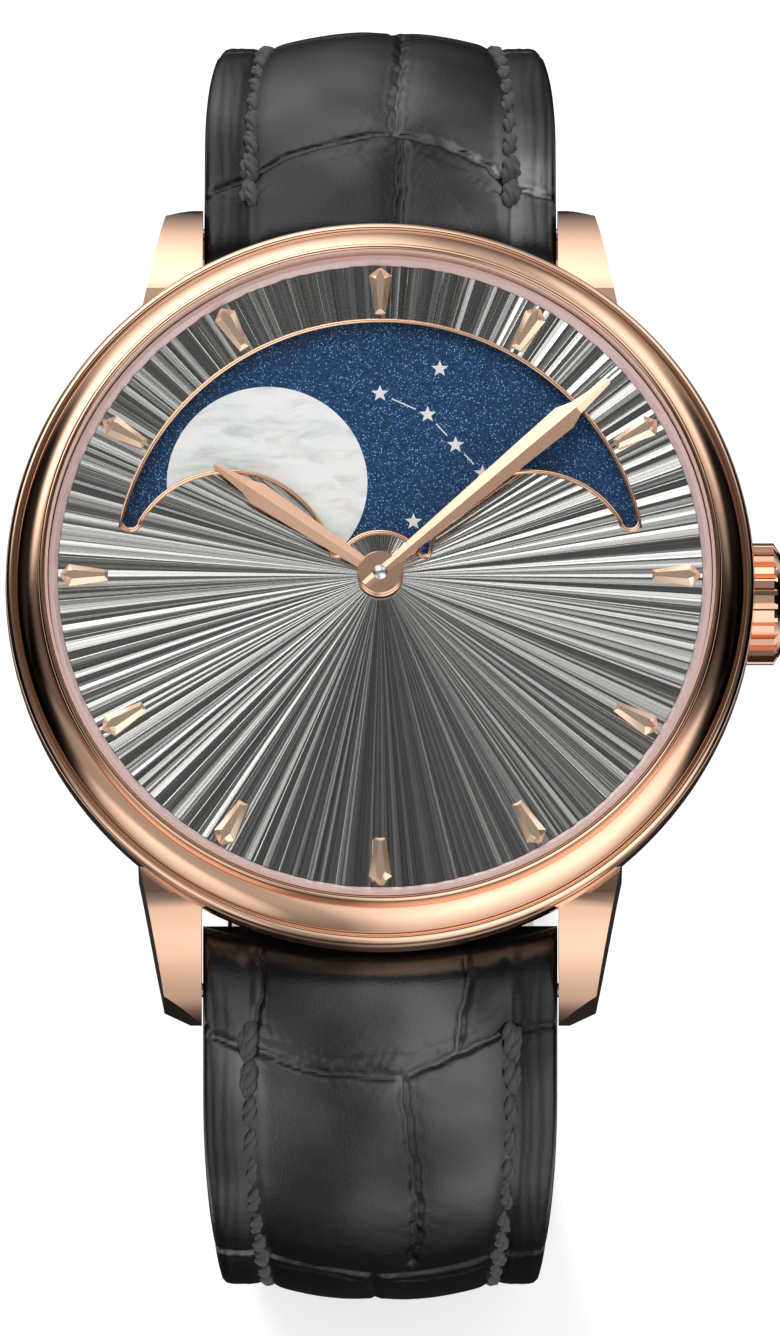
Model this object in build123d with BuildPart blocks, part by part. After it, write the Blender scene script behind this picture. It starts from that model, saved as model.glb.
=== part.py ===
from build123d import *
import os
from math import acos, atan2, cos, degrees, hypot, radians, sin, sqrt

# Moon phase wristwatch, dial up, standing on its open strap loop.
# +Z points out of the dial, +Y to 12 o'clock and +X to the crown at 3 o'clock.
# The origin lies below the case axis, in the plane of the flat strap stretch
# that the watch stands on. All lengths are in millimetres, all angles in degrees.
# Heights named *_h are counted from the flat back of the case.

os.makedirs("parts", exist_ok=True)

overrun = 2.0

# Case
case_r = 21.0
case_floor_inset = 3.4
case_floor_r = case_r - case_floor_inset
case_floor_h = 1.2
case_bulge_h = 7.5
case_shoulder_h = 7.75
case_shoulder_inset = 0.12
case_shoulder_r = case_r - case_shoulder_inset
case_wall = 4.4
case_bore_r = case_r - case_wall
case_collar_inset = 1.7
case_collar_r = case_r - case_collar_inset
case_collar_h = 8.85
flank_belly = 1.1

# Lugs and spring bars
lug_gap = 20.0
lug_overhang = 2.75
lug_reach = case_r + lug_overhang
lug_corner_inset = 1.0
lug_corner_reach = lug_reach - lug_corner_inset
lug_root_inset = 8.0
lug_root_reach = case_r - lug_root_inset
lug_width = 3.55
lug_tip_width = 2.1
lug_top_h = 6.9
lug_hip_inset = 6.15
lug_hip_reach = lug_reach - lug_hip_inset
lug_hip_h = 6.6
lug_mid_inset = 1.85
lug_mid_reach = lug_reach - lug_mid_inset
lug_mid_h = 4.5
lug_tip_h = 0.75
lug_toe_h = -0.45
lug_toe_inset = 0.3
lug_sole_inset = 2.85
lug_sole_reach = lug_reach - lug_sole_inset
lug_sole_h = -0.35
lug_waist_inset = 6.55
lug_waist_reach = lug_reach - lug_waist_inset
bar_inset = 1.75
bar_reach = lug_reach - bar_inset
bar_h = 1.9
bar_r = 0.85
bar_tip_r = 0.4
bar_tip_length = 1.1
bar_shy = 0.12
fit = 0.03

# Bezel, crystal and flange ring
bead_inset = 0.38
bead_r = case_r - bead_inset
bead_h = 8.3
bead_bulge = 0.16
groove_width = 0.2
groove_r = bead_r - groove_width
groove_h = 8.22
cove_width = 1.2
cove_r = groove_r - cove_width
cove_h = 9.55
cove_sag = 0.28
step_width = 0.12
step_r = cove_r - step_width
step_h = 10.05
ridge_width = 0.17
ridge_r = step_r - ridge_width
ridge_h = 10.45
lip_width = 0.13
lip_r = ridge_r - lip_width
lip_h = 10.4
bezel_floor_h = 7.8
crystal_seat = 0.2
crystal_r = lip_r - crystal_seat
crystal_edge_h = 10.45
crystal_edge_t = 0.4
crystal_top_h = 11.7
crystal_inner_top_h = 10.85
gasket_gap = 0.02
flange_inset = 0.05
flange_r = crystal_r - flange_inset
flange_foot_width = 0.51
flange_foot_r = flange_r - flange_foot_width
flange_lip_width = 0.25
flange_lip_r = flange_r - flange_lip_width
flange_t = 0.42

# Dial, window and markers
dial_inset = 0.2
dial_r = crystal_r - dial_inset
dial_h = 9.3
dial_t = 0.4
dial_bore_r = 1.25
seat_gap = 0.03
window_r = 14.75
hump_r = 5.85
hump_across = 8.45
hump_rise = 0.27
arch_r = 2.6
window_tip_rise = 2.95
window_tip_start = 11.0
window_cusp_rise = 1.2
window_tip_round = 0.28
window_cusp_round = 0.14
frame_lip = 0.27
frame_wall = 0.12
frame_clearance = 0.03
frame_rise = 0.14
marker_edge_gap = 0.16
marker_outer_r = flange_foot_r - marker_edge_gap
marker_head_length = 0.46
marker_shoulder_r = marker_outer_r - marker_head_length
marker_length = 2.66
marker_inner_r = marker_outer_r - marker_length
marker_shoulder_width = 1.28
marker_inner_width = 0.6
marker_tip_width = 0.16
marker_t = 0.38
marker_bevel = 0.2
marker_count = 12

# Moon disc
disc_r = 15.3
disc_t = 0.4
disc_h = 8.5
disc_bore_r = 1.5
moon_r = 5.62
moon_across = 6.33
moon_along = 5.54
moon_t = 0.1
star_r = 0.5
star_waist_share = 0.42
star_t = 0.06
star_line_width = 0.07
star_line_gap = 0.72
star_places_share = [(0.226, 0.829), (-0.001, 0.731), (0.18, 0.648), (0.286, 0.528), (0.388, 0.416), (0.126, 0.225)]
star_chain_start = 1
star_chain_count = 4

# Hands
hour_angle = 304.4
minute_angle = 48.8
hour_hand_h = 9.52
minute_hand_h = 9.84
hand_t = 0.22
hand_bevel = 0.1
hour_hub_r = 1.3
hour_root_width = 0.62
hour_shoulder_width = 1.36
hour_shoulder_r = 8.3
hour_neck_width = 0.84
hour_neck_r = 9.1
hour_tip_width = 0.34
hour_length = 11.25
minute_hub_r = 0.98
minute_root_width = 0.56
minute_shoulder_width = 1.5
minute_shoulder_r = 13.7
minute_neck_width = 0.86
minute_neck_r = 14.6
minute_tip_width = 0.32
minute_length = 17.0
pin_r = 0.42
pin_rise = 0.2
pin_seat = 0.5

# Crown and stem
crown_r = 3.43
crown_root_r = 3.08
crown_cap_r = 2.75
crown_h = 3.46
crown_overhang = 1.5
crown_outer_x = case_r + crown_overhang
crown_length = 3.0
crown_inner_x = crown_outer_x - crown_length
crown_flute_inset = 0.42
crown_flutes = 25
crown_land_share = 0.5
crown_foot_share = 0.68
crown_recess_gap = 0.16
crown_recess_shy = 0.18
crown_recess_x = crown_inner_x - crown_recess_shy
crown_hollow_r = 1.9
crown_web = 1.1
tube_r = 1.2
tube_bore_r = 0.72
tube_inset = 0.1
tube_start_x = case_bore_r + tube_inset
tube_reach = 1.4
tube_end_x = crown_inner_x + tube_reach
seal_length = 0.6
seal_end_gap = 0.25
stem_r = 0.6
stem_start_x = 9.4
clutch_length = 1.2
clutch_r = 0.9
clutch_teeth = 8
clutch_tooth_depth = 0.22
winding_r = 1.22
winding_x = 12.3
winding_length = 1.5

# Back
back_edge_gap = 0.15
back_r = case_floor_r - back_edge_gap
back_window_r = 13.2
back_glass_ledge = 0.8
back_glass_r = back_window_r + back_glass_ledge
back_glass_h = 0.35
back_glass_t = 1.0
back_neck_gap = 0.06
back_neck_r = case_bore_r - back_neck_gap
back_neck_h = 2.0
back_neck_wall = 1.2
back_notch_count = 6
back_notch_width = 2.2
back_notch_depth = 0.5
back_notch_t = 0.6
back_gasket_inset = 0.25
back_gasket_r = back_r - back_gasket_inset
back_gasket_t = 0.25
back_gasket_width = 0.35
back_round = 0.35

# Movement layers
movement_r = 15.0
ring_gap = 0.04
ring_low_h = 2.3
ring_high_h = 6.6
plate_low_h = 5.05
plate_high_h = 6.4
bridge_low_h = 2.15
bridge_t = 1.2
bridge_inset = 0.4
bridge_r = movement_r - bridge_inset
bridge_slit_x = -2.55
bridge_slit = 0.3
bridge_foot_y = -4.2
pillar_r = 1.05
pillar_inset = 1.9
pillar_circle_r = movement_r - pillar_inset
pillar_bearings = [95.0, 13.0, -13.0]
train_pillar_bearings = [112.0, 148.0, 202.0, 226.0]
screw_head_r = 0.72
screw_head_t = 0.32
screw_sink = 0.36
screw_r = 0.35
screw_bite = 0.6
screw_slot_width = 0.16
screw_slot_depth = 0.12
jewel_r = 0.62
jewel_t = 0.25
pivot_r = 0.15
pivot_gap = 0.05
pivot_length = 0.6
arbor_r = 0.32
escape_arbor_r = 0.22
end_shake = 0.06
jewel_sink = 0.1
spring_gap = 0.1
barrel_square_r = 0.8
crown_wheel_core_r = 0.9
crown_screw_head_r = 1.25
crown_screw_end_h = 2.4
ratchet_screw_head_r = 1.3
ratchet_screw_length = 1.0
arbor_bore_depth = 1.2
click_screw_head_r = 0.65
staff_r = 0.25
staff_pivot_r = 0.12

# Wheel teeth, as shares of the module, and the modules
tip_share = 0.55
root_share = 1.2
ratchet_module = 0.3
barrel_module = 0.18
centre_module = 0.15
third_module = 0.12
fourth_module = 0.1
motion_module = 0.16
moon_module = 0.2
moon_ring_module = 0.31

ratchet_teeth = 36
crown_wheel_teeth = 20
barrel_teeth = 72
centre_pinion_teeth = 10
centre_teeth = 64
third_pinion_teeth = 8
third_teeth = 60
fourth_pinion_teeth = 8
fourth_teeth = 70
escape_pinion_teeth = 7
escape_teeth = 15
cannon_teeth = 12
minute_teeth = 36
minute_pinion_teeth = 10
hour_teeth = 40
moon_drive_teeth = 16
moon_first_teeth = 60
moon_first_pinion_teeth = 8
moon_second_teeth = 36
moon_second_pinion_teeth = 12
moon_ring_teeth = 84
winding_teeth = 8

crown_wheel_x = 10.0
third_bearing = 170.0
fourth_bearing = 235.0
escape_bearing = 300.0
fork_bearing = -20.0
minute_bearing = 60.0
moon_bearing = 200.0

wheel_t = 0.16
wheel_rim = 0.55
wheel_arm = 0.36
wheel_hub_r = 0.75
keyless_h = 1.7
keyless_t = 0.4
barrel_low_h = 3.45
barrel_flange_t = 0.4
barrel_high_h = 4.7
barrel_drum_r = 6.0
barrel_wall = 0.25
barrel_skin = 0.15
barrel_core_r = 1.0
mainspring_turns = 5
mainspring_steps = 14
mainspring_t = 0.22
centre_wheel_h = 4.8
centre_arbor_r = 0.36
third_wheel_h = 3.6
fourth_wheel_h = 4.4
escape_wheel_h = 3.7
escape_r = 2.3
escape_rim_r = 1.65
escape_foot_share = 0.42
escape_tip_share = 0.13
fork_distance = 2.95
fork_t = 0.2
fork_arm_width = 0.4
fork_stone_width = 0.3
fork_stone_gap = 0.2
fork_stone_length = 0.55
fork_stone_bearing = 30.0
fork_length = 2.3
fork_boss_r = 0.45
balance_distance = 3.6
balance_r = 5.0
balance_rim = 0.55
balance_low_h = 2.5
balance_rim_t = 0.45
balance_arm_t = 0.18
balance_arm_width = 0.7
balance_arms = 3
balance_hub_r = 0.6
balance_clearance = 0.6
balance_screw_r = 0.2
balance_screw_rise = 0.3
balance_screw_count = 12
roller_r = 0.75
roller_h = 3.5
roller_t = 0.15
cock_low_h = 1.72
cock_t = 0.4
cock_foot_r = 1.5
cock_head_r = 1.45
hairspring_h = 2.2
hairspring_width = 0.14
hairspring_t = 0.05
hairspring_inner_r = 0.5
hairspring_outer_r = 2.4
hairspring_turns = 5
hairspring_steps = 16
click_distance = 1.5
click_length = 2.2
click_width = 0.6
click_bearing = 35.0
click_turn = 125.0
pallet_cock_h = 3.08
pallet_cock_t = 0.35
pallet_cock_reach = 2.6
pallet_foot_r = 0.9
pallet_jewel_r = 0.5
centre_jewel_r = 0.9
cock_foot_gap = 0.6
cock_bearing = -30.0
plate_edge = 0.15
bridge_edge = 0.12
tube_gap = 0.15
window_gap = 0.12

# Motion works and moon train layers
cannon_h = 6.5
cannon_leaf_t = 0.55
cannon_r = 0.66
cannon_bore_r = 0.4
minute_wheel_h = 6.62
minute_pinion_high_h = 7.55
hour_wheel_h = 7.3
hour_pipe_r = 0.95
hour_pipe_bore_r = 0.71
moon_drive_h = 7.62
moon_second_wheel_h = 6.85
moon_ring_low_h = 7.15
moon_ring_t = 0.3
moon_ring_wall = 0.45
moon_ring_r = 14.6

# Strap: a short half at 12 o'clock and a long half at 6 o'clock
strap_lug_t = 4.3
strap_end_t = 2.6
strap_lug_width = 19.68
strap_end_width = 17.9
strap_taper_length = 48.0
strap_thin_length = 55.0
pad_t = 0.6
pad_least = 0.03
pad_start = 7.0
pad_fade_start = 50.0
pad_fade_end = 66.0
pad_margin = 2.3
pad_slope = 1.6
lug_heading = 18.0
short_bend_r = 22.0
short_leg = 35.5
long_bend_r = 16.5
long_leg_heading = 106.0
long_leg = 40.9
long_corner_r = 10.0
long_flat = 28.4
tail_bend_r = 25.0
tail_heading = 200.0
turn_step = 9.0
run_step = 9.5
tail_tip_length = 7.0
tail_tip_shares = [(0.45, 0.93), (0.8, 0.74), (1.0, 0.42)]
strap_bore_gap = 0.05
tongue_hole_r = 0.95
tongue_hole_count = 6
tongue_hole_pitch = 5.0
tongue_hole_start = 12.0

# Buckle and keepers
buckle_bar_r = 0.6
buckle_length = 10.4
buckle_arm = 1.7
buckle_side_gap = 0.15
buckle_bridge = 2.1
buckle_ear = 1.3
buckle_t = 1.8
buckle_round = 1.6
buckle_ear_round = 0.45
buckle_edge = 0.3
bar_seat_depth = 1.0
tongue_ring_r = 1.15
tongue_width = 1.5
tongue_gap = 0.12
tongue_t = 0.7
tongue_overhang = 0.35
tongue_slot_gap = 0.35
tongue_slot_depth = 2.6
keeper_t = 1.0
keeper_width = 5.0
keeper_side_gap = 0.25
keeper_room = 2.9
keeper_back_gap = 0.1
keeper_round = 1.0
sewn_keeper_rise = 7.5
loose_keeper_rise = 14.5
loose_keeper_travel = 10.0


def polar(radius, bearing):
    """A point at a radius and a bearing, counted from +X towards +Y."""
    return (radius * cos(radians(bearing)), radius * sin(radians(bearing)))


# Strap route


def walk(side, stretches):
    """Stations along a strap's middle line, from the spring bar on, as (y, h, heading, length).

    A heading is the angle below the outward horizontal; side is +1 at 12 o'clock and -1 at 6.
    """
    y, h, heading, length = side * bar_reach, bar_h, lug_heading, 0.0
    stations = [(y, h, heading, length)]
    for kind, size, target in stretches:
        if kind == "bend":
            steps = max(2, round((target - heading) / turn_step))
            turn = radians(target - heading) / steps
            for _ in range(steps):
                start = radians(heading)
                y += side * size * (sin(start + turn) - sin(start))
                h -= size * (cos(start) - cos(start + turn))
                heading += degrees(turn)
                length += size * turn
                stations.append((y, h, heading, length))
        else:
            steps = max(1, round(size / run_step))
            for _ in range(steps):
                y += side * size / steps * cos(radians(heading))
                h -= size / steps * sin(radians(heading))
                length += size / steps
                stations.append((y, h, heading, length))
    return stations


short_route = walk(1, [("bend", short_bend_r, 90.0), ("run", short_leg, 0)])
long_route = walk(
    -1,
    [
        ("bend", long_bend_r, long_leg_heading),
        ("run", long_leg, 0),
        ("bend", long_corner_r, 180.0),
        ("run", long_flat, 0),
        ("bend", tail_bend_r, tail_heading),
    ],
)
long_length = long_route[-1][3]
short_length = short_route[-1][3]
flat_h = min(h for _, h, _, _ in long_route)
head_lift = -(flat_h - strap_end_t / 2)
print("strap halves along their middle line:", round(short_length, 1), round(long_length, 1))
print("back of the case above the rest plane:", round(head_lift, 3))


def level(h):
    """Height above the rest plane of a height above the case back."""
    return head_lift + h


def layer(h):
    """Horizontal plane at a height above the case back."""
    return Plane.XY.offset(level(h))


def between(start, end, share):
    """A value a share of the way from start to end, held at both ends."""
    return start + (end - start) * min(1.0, max(0.0, share))


def dome_fall(reach, rise, distance):
    """How far a round dome, rising by rise over its reach, has fallen at a distance from its middle."""
    radius = (reach**2 + rise**2) / (2 * rise)
    return radius - sqrt(radius**2 - distance**2)


def strap_thickness(length):
    return between(strap_lug_t, strap_end_t, length / strap_thin_length)


def strap_width(length):
    return between(strap_lug_width, strap_end_width, length / strap_taper_length)


def strap_pad(length):
    rise = between(0.0, 1.0, length / pad_start)
    fade = between(1.0, 0.0, (length - pad_fade_start) / (pad_fade_end - pad_fade_start))
    return max(pad_least, pad_t * rise * fade)


def cross_section(width, thickness, pad):
    """Outline of the strap across its length: flat edges and a raised padded middle."""
    half, low, high = width / 2, -thickness / 2, thickness / 2
    seam = half - pad_margin
    crown = max(seam - pad_slope, seam / 2)
    return [
        (-half, low), (half, low), (half, high - pad), (seam, high - pad),
        (crown, high), (-crown, high), (-seam, high - pad), (-half, high - pad),
    ]


def across(side, station):
    """Plane square to the strap at a station, with its Y axis pointing out of the loop."""
    y, h, heading, _ = station
    run = (0, side * cos(radians(heading)), -sin(radians(heading)))
    normal = (0, -side * run[1], -side * run[2])
    return Plane(origin=(0, y, level(h)), x_dir=(1, 0, 0), z_dir=normal)


def station_at(route, length):
    """The route's station at a length along it, on the straight line between two stations."""
    for before, after in zip(route, route[1:]):
        if after[3] >= length:
            share = (length - before[3]) / (after[3] - before[3])
            return tuple(between(a, b, share) for a, b in zip(before, after))
    return route[-1]


def strap_sections(side, route, tip_shares):
    """Sketches across a strap half, the last ones narrowing to the tip."""
    end = route[-1][3]
    whole = end - tail_tip_length if tip_shares else end + overrun
    cuts = [(across(side, s), strap_width(s[3]), s[3]) for s in route if s[3] < whole]
    if tip_shares:
        cuts.append((across(side, station_at(route, whole)), strap_end_width, whole))
    for share, width_share in tip_shares:
        length = whole + tail_tip_length * share
        cuts.append((across(side, station_at(route, length)), strap_end_width * width_share, length))
    sections = []
    for plane, width, length in cuts:
        with BuildSketch(plane) as section:
            with BuildLine():
                Polyline(*cross_section(width, strap_thickness(length), strap_pad(length)), close=True)
            make_face()
        sections.append(section.sketch)
    return sections


def rounded_end(part_width, radius, y, h):
    """A round end of the strap about a bar."""
    with BuildPart() as end:
        with BuildSketch(Plane.YZ):
            with Locations((y, level(h))):
                Circle(radius)
        extrude(amount=part_width / 2, both=True)
    return end.part


def bar_hole(width, radius, y, h):
    """The solid that a bar's bore leaves free."""
    with BuildPart() as hole:
        with BuildSketch(Plane.YZ):
            with Locations((y, level(h))):
                Circle(radius)
        extrude(amount=width / 2 + overrun, both=True)
    return hole.part


# Case middle with its lugs

with BuildPart() as lug:
    with BuildSketch(Plane.YZ.offset(lug_gap / 2)):
        with BuildLine():
            Polyline(
                (lug_root_reach, level(case_floor_h)),
                (lug_root_reach, level(lug_top_h)),
                (lug_hip_reach, level(lug_hip_h)),
            )
            ThreePointArc(
                (lug_hip_reach, level(lug_hip_h)), (lug_mid_reach, level(lug_mid_h)), (lug_reach, level(lug_tip_h))
            )
            Line((lug_reach, level(lug_tip_h)), (lug_reach - lug_toe_inset, level(lug_toe_h)))
            Line((lug_reach - lug_toe_inset, level(lug_toe_h)), (lug_sole_reach, level(lug_sole_h)))
            Line((lug_sole_reach, level(lug_sole_h)), (lug_waist_reach, level(case_floor_h)))
            Line((lug_waist_reach, level(case_floor_h)), (lug_root_reach, level(case_floor_h)))
        make_face()
    extrude(amount=lug_width)
    with BuildSketch(layer(lug_toe_h - overrun)):
        with BuildLine():
            Polyline(
                (lug_gap / 2, lug_root_reach),
                (lug_gap / 2 + lug_width, lug_root_reach),
                (lug_gap / 2 + lug_width, lug_hip_reach - overrun),
                (lug_gap / 2 + lug_tip_width, lug_corner_reach),
                (lug_gap / 2, lug_reach),
                close=True,
            )
        make_face()
    extrude(amount=lug_top_h - lug_toe_h + 2 * overrun, mode=Mode.INTERSECT)
    with BuildSketch(Plane.YZ.offset(lug_gap / 2 - overrun)):
        with Locations((bar_reach, level(bar_h))):
            Circle(bar_tip_r + fit)
    extrude(amount=overrun + bar_tip_length + fit, mode=Mode.SUBTRACT)

with BuildPart() as case_middle:
    with BuildSketch(Plane.XZ):
        with BuildLine():
            middle = ((case_floor_r + case_r) / 2 + flank_belly, level((case_floor_h + case_bulge_h) / 2))
            ThreePointArc((case_floor_r, level(case_floor_h)), middle, (case_r, level(case_bulge_h)))
            Polyline(
                (case_r, level(case_bulge_h)),
                (case_shoulder_r, level(case_shoulder_h)),
                (case_collar_r, level(case_shoulder_h)),
                (case_collar_r, level(case_collar_h)),
                (case_bore_r, level(case_collar_h)),
                (case_bore_r, level(case_floor_h)),
                (case_floor_r, level(case_floor_h)),
            )
        make_face()
    revolve(axis=Axis.Z)
    add(lug.part)
    add(lug.part.mirror(Plane.YZ))
    add(lug.part.mirror(Plane.XZ))
    add(lug.part.mirror(Plane.YZ).mirror(Plane.XZ))
    with BuildSketch(layer(case_floor_h)):
        Circle(case_bore_r)
    extrude(amount=case_collar_h - case_floor_h, mode=Mode.SUBTRACT)
    with BuildSketch(Plane.YZ.offset(crown_recess_x)):
        with Locations((0, level(crown_h))):
            Circle(crown_r + crown_recess_gap)
    extrude(amount=crown_outer_x - crown_recess_x, mode=Mode.SUBTRACT)
    with BuildSketch(Plane.YZ.offset(case_bore_r - overrun)):
        with Locations((0, level(crown_h))):
            Circle(tube_r + fit)
    extrude(amount=case_r - case_bore_r + overrun, mode=Mode.SUBTRACT)
    with BuildSketch(layer(case_floor_h)):
        Circle(back_gasket_r + fit)
        Circle(back_gasket_r - back_gasket_width - fit, mode=Mode.SUBTRACT)
    extrude(amount=back_gasket_t + fit, mode=Mode.SUBTRACT)
case_middle.part.label = "case_middle"
export_step(case_middle.part, "parts/case_middle.step")


def ring(outer_r, inner_r, low_h, high_h):
    """A plain ring about the case axis."""
    with BuildPart() as hoop:
        with BuildSketch(layer(low_h)):
            Circle(outer_r)
            Circle(inner_r, mode=Mode.SUBTRACT)
        extrude(amount=high_h - low_h)
    return hoop.part


# Bezel: a rounded bead, a hollow cove and a raised inner ridge

with BuildPart() as bezel:
    with BuildSketch(Plane.XZ):
        with BuildLine():
            ThreePointArc(
                (case_r, level(bezel_floor_h)),
                (bead_r + bead_bulge, level(bead_h - bead_bulge / 2)),
                (bead_r, level(bead_h)),
            )
            Line((bead_r, level(bead_h)), (groove_r, level(groove_h)))
            ThreePointArc(
                (groove_r, level(groove_h)),
                ((groove_r + cove_r) / 2 - cove_sag / 2, level((groove_h + cove_h) / 2 - cove_sag)),
                (cove_r, level(cove_h)),
            )
            Polyline(
                (cove_r, level(cove_h)),
                (step_r, level(step_h)),
                (ridge_r, level(ridge_h)),
                (lip_r, level(lip_h)),
                (lip_r, level(case_collar_h)),
                (case_collar_r + fit, level(case_collar_h)),
                (case_collar_r + fit, level(bezel_floor_h)),
                (case_r, level(bezel_floor_h)),
            )
        make_face()
    revolve(axis=Axis.Z)
bezel.part.label = "bezel"
export_step(bezel.part, "parts/bezel.step")

with BuildPart() as crystal:
    with BuildSketch(Plane.XZ):
        edge_low = crystal_edge_h - crystal_edge_t
        with BuildLine():
            Line((0, level(crystal_inner_top_h)), (0, level(crystal_top_h)))
            half_x = crystal_r / 2
            outer_fall = dome_fall(crystal_r, crystal_top_h - crystal_edge_h, half_x)
            inner_fall = dome_fall(crystal_r, crystal_inner_top_h - edge_low, half_x)
            ThreePointArc(
                (0, level(crystal_top_h)),
                (half_x, level(crystal_top_h - outer_fall)),
                (crystal_r, level(crystal_edge_h)),
            )
            Line((crystal_r, level(crystal_edge_h)), (crystal_r, level(edge_low)))
            ThreePointArc(
                (crystal_r, level(edge_low)),
                (half_x, level(crystal_inner_top_h - inner_fall)),
                (0, level(crystal_inner_top_h)),
            )
        make_face()
    revolve(axis=Axis.Z)
crystal.part.label = "crystal"
export_step(crystal.part, "parts/crystal.step")

crystal_gasket = ring(lip_r - gasket_gap, crystal_r + gasket_gap, dial_h + flange_t, lip_h)
crystal_gasket.label = "crystal_gasket"
export_step(crystal_gasket, "parts/crystal_gasket.step")

with BuildPart() as flange_ring:
    with BuildSketch(Plane.XZ):
        with BuildLine():
            Polyline(
                (flange_foot_r, level(dial_h + seat_gap)),
                (flange_r, level(dial_h + seat_gap)),
                (flange_r, level(dial_h + flange_t)),
                (flange_lip_r, level(dial_h + flange_t)),
                close=True,
            )
        make_face()
    revolve(axis=Axis.Z)
flange_ring.part.label = "flange_ring"
export_step(flange_ring.part, "parts/flange_ring.step")

# Screw-in back with its key notches, gasket and window

with BuildPart() as case_back_ring:
    with BuildSketch(Plane.XZ):
        with BuildLine():
            Polyline(
                (back_window_r, level(0)),
                (back_r - back_round, level(0)),
                (back_r, level(back_round)),
                (back_r, level(case_floor_h - seat_gap)),
                (back_neck_r, level(case_floor_h - seat_gap)),
                (back_neck_r, level(back_neck_h)),
                (back_neck_r - back_neck_wall, level(back_neck_h)),
                (back_neck_r - back_neck_wall, level(back_glass_h + back_glass_t)),
                (back_glass_r + fit, level(back_glass_h + back_glass_t)),
                (back_glass_r + fit, level(back_glass_h)),
                (back_window_r, level(back_glass_h)),
                close=True,
            )
        make_face()
    revolve(axis=Axis.Z)
    with BuildSketch(layer(0)):
        with PolarLocations(back_r - back_notch_depth / 2, back_notch_count):
            Rectangle(back_notch_depth + overrun, back_notch_width)
        Circle(back_r - back_notch_depth, mode=Mode.SUBTRACT)
    extrude(amount=back_notch_t, mode=Mode.SUBTRACT)
case_back_ring.part.label = "case_back_ring"
export_step(case_back_ring.part, "parts/case_back_ring.step")

with BuildPart() as case_back_crystal:
    with BuildSketch(layer(back_glass_h)):
        Circle(back_glass_r)
    extrude(amount=back_glass_t)
case_back_crystal.part.label = "case_back_crystal"
export_step(case_back_crystal.part, "parts/case_back_crystal.step")

case_back_gasket = ring(back_gasket_r, back_gasket_r - back_gasket_width, case_floor_h, case_floor_h + back_gasket_t)
case_back_gasket.label = "case_back_gasket"
export_step(case_back_gasket, "parts/case_back_gasket.step")

# Spring bars between the lugs


def spring_bar(side):
    """A spring bar with its two tips in the lugs."""
    half = lug_gap / 2 - bar_shy
    with BuildPart() as bar:
        with BuildSketch(Plane.YZ):
            with Locations((side * bar_reach, level(bar_h))):
                Circle(bar_r)
        extrude(amount=half, both=True)
        with BuildSketch(Plane.YZ):
            with Locations((side * bar_reach, level(bar_h))):
                Circle(bar_tip_r)
        extrude(amount=lug_gap / 2 + bar_tip_length, both=True)
    return bar.part


for node, side in (("spring_bar_12", 1), ("spring_bar_6", -1)):
    bar = spring_bar(side)
    bar.label = node
    export_step(bar, f"parts/{node}.step")

# Dial with the moon window, its frame and the markers

with BuildSketch() as window:
    Circle(window_r)
    with Locations((-hump_across, hump_rise), (hump_across, hump_rise)):
        Circle(hump_r, mode=Mode.SUBTRACT)
    Circle(arch_r, mode=Mode.SUBTRACT)
    with Locations((0, window_cusp_rise)):
        Rectangle(2 * dial_r, 2 * dial_r, align=(Align.CENTER, Align.MAX), mode=Mode.SUBTRACT)
    with Locations((window_tip_start, window_tip_rise), (-window_tip_start - dial_r, window_tip_rise)):
        Rectangle(dial_r, 2 * dial_r, align=(Align.MIN, Align.MAX), mode=Mode.SUBTRACT)
    fillet([v for v in window.vertices() if abs(v.X) > window_tip_start], window_tip_round)
    fillet([v for v in window.vertices() if abs(v.X) < hump_across / 2], window_cusp_round)


window_hole = offset(window.sketch, amount=frame_wall + frame_clearance, kind=Kind.ARC)
window_wall = offset(window.sketch, amount=frame_wall, kind=Kind.ARC)
window_lip = offset(window.sketch, amount=frame_lip, kind=Kind.ARC)

with BuildPart() as dial:
    with BuildSketch(layer(dial_h - dial_t)):
        Circle(dial_r)
        Circle(dial_bore_r, mode=Mode.SUBTRACT)
        add(window_hole, mode=Mode.SUBTRACT)
    extrude(amount=dial_t)
dial.part.label = "dial"
export_step(dial.part, "parts/dial.step")

with BuildPart() as window_frame:
    with BuildSketch(layer(dial_h)):
        add(window_lip)
        add(window.sketch, mode=Mode.SUBTRACT)
    extrude(amount=frame_rise)
    with BuildSketch(layer(dial_h)):
        add(window_wall)
        add(window.sketch, mode=Mode.SUBTRACT)
    extrude(amount=-dial_t)
window_frame.part.label = "window_frame"
export_step(window_frame.part, "parts/window_frame.step")

marker_foot = [
    (marker_inner_r, -marker_inner_width / 2),
    (marker_shoulder_r, -marker_shoulder_width / 2),
    (marker_outer_r, -marker_tip_width / 2),
    (marker_outer_r, marker_tip_width / 2),
    (marker_shoulder_r, marker_shoulder_width / 2),
    (marker_inner_r, marker_inner_width / 2),
]
marker_crown = [
    (marker_inner_r + marker_bevel, -marker_inner_width / 6),
    (marker_shoulder_r - marker_bevel, -marker_shoulder_width / 5),
    (marker_outer_r - marker_bevel, -marker_tip_width / 3),
    (marker_outer_r - marker_bevel, marker_tip_width / 3),
    (marker_shoulder_r - marker_bevel, marker_shoulder_width / 5),
    (marker_inner_r + marker_bevel, marker_inner_width / 6),
]

with BuildPart() as one_marker:
    for h, outline in (
        (dial_h, marker_foot),
        (dial_h + marker_t - marker_bevel, marker_foot),
        (dial_h + marker_t, marker_crown),
    ):
        with BuildSketch(layer(h)):
            with BuildLine():
                Polyline(*outline, close=True)
            make_face()
    loft(ruled=True)

with BuildPart() as hour_markers:
    with PolarLocations(0, marker_count):
        add(one_marker.part)
hour_markers.part.label = "hour_markers"
export_step(hour_markers.part, "parts/hour_markers.step")

# Moon disc: two moons opposite each other, stars and their lines


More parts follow.
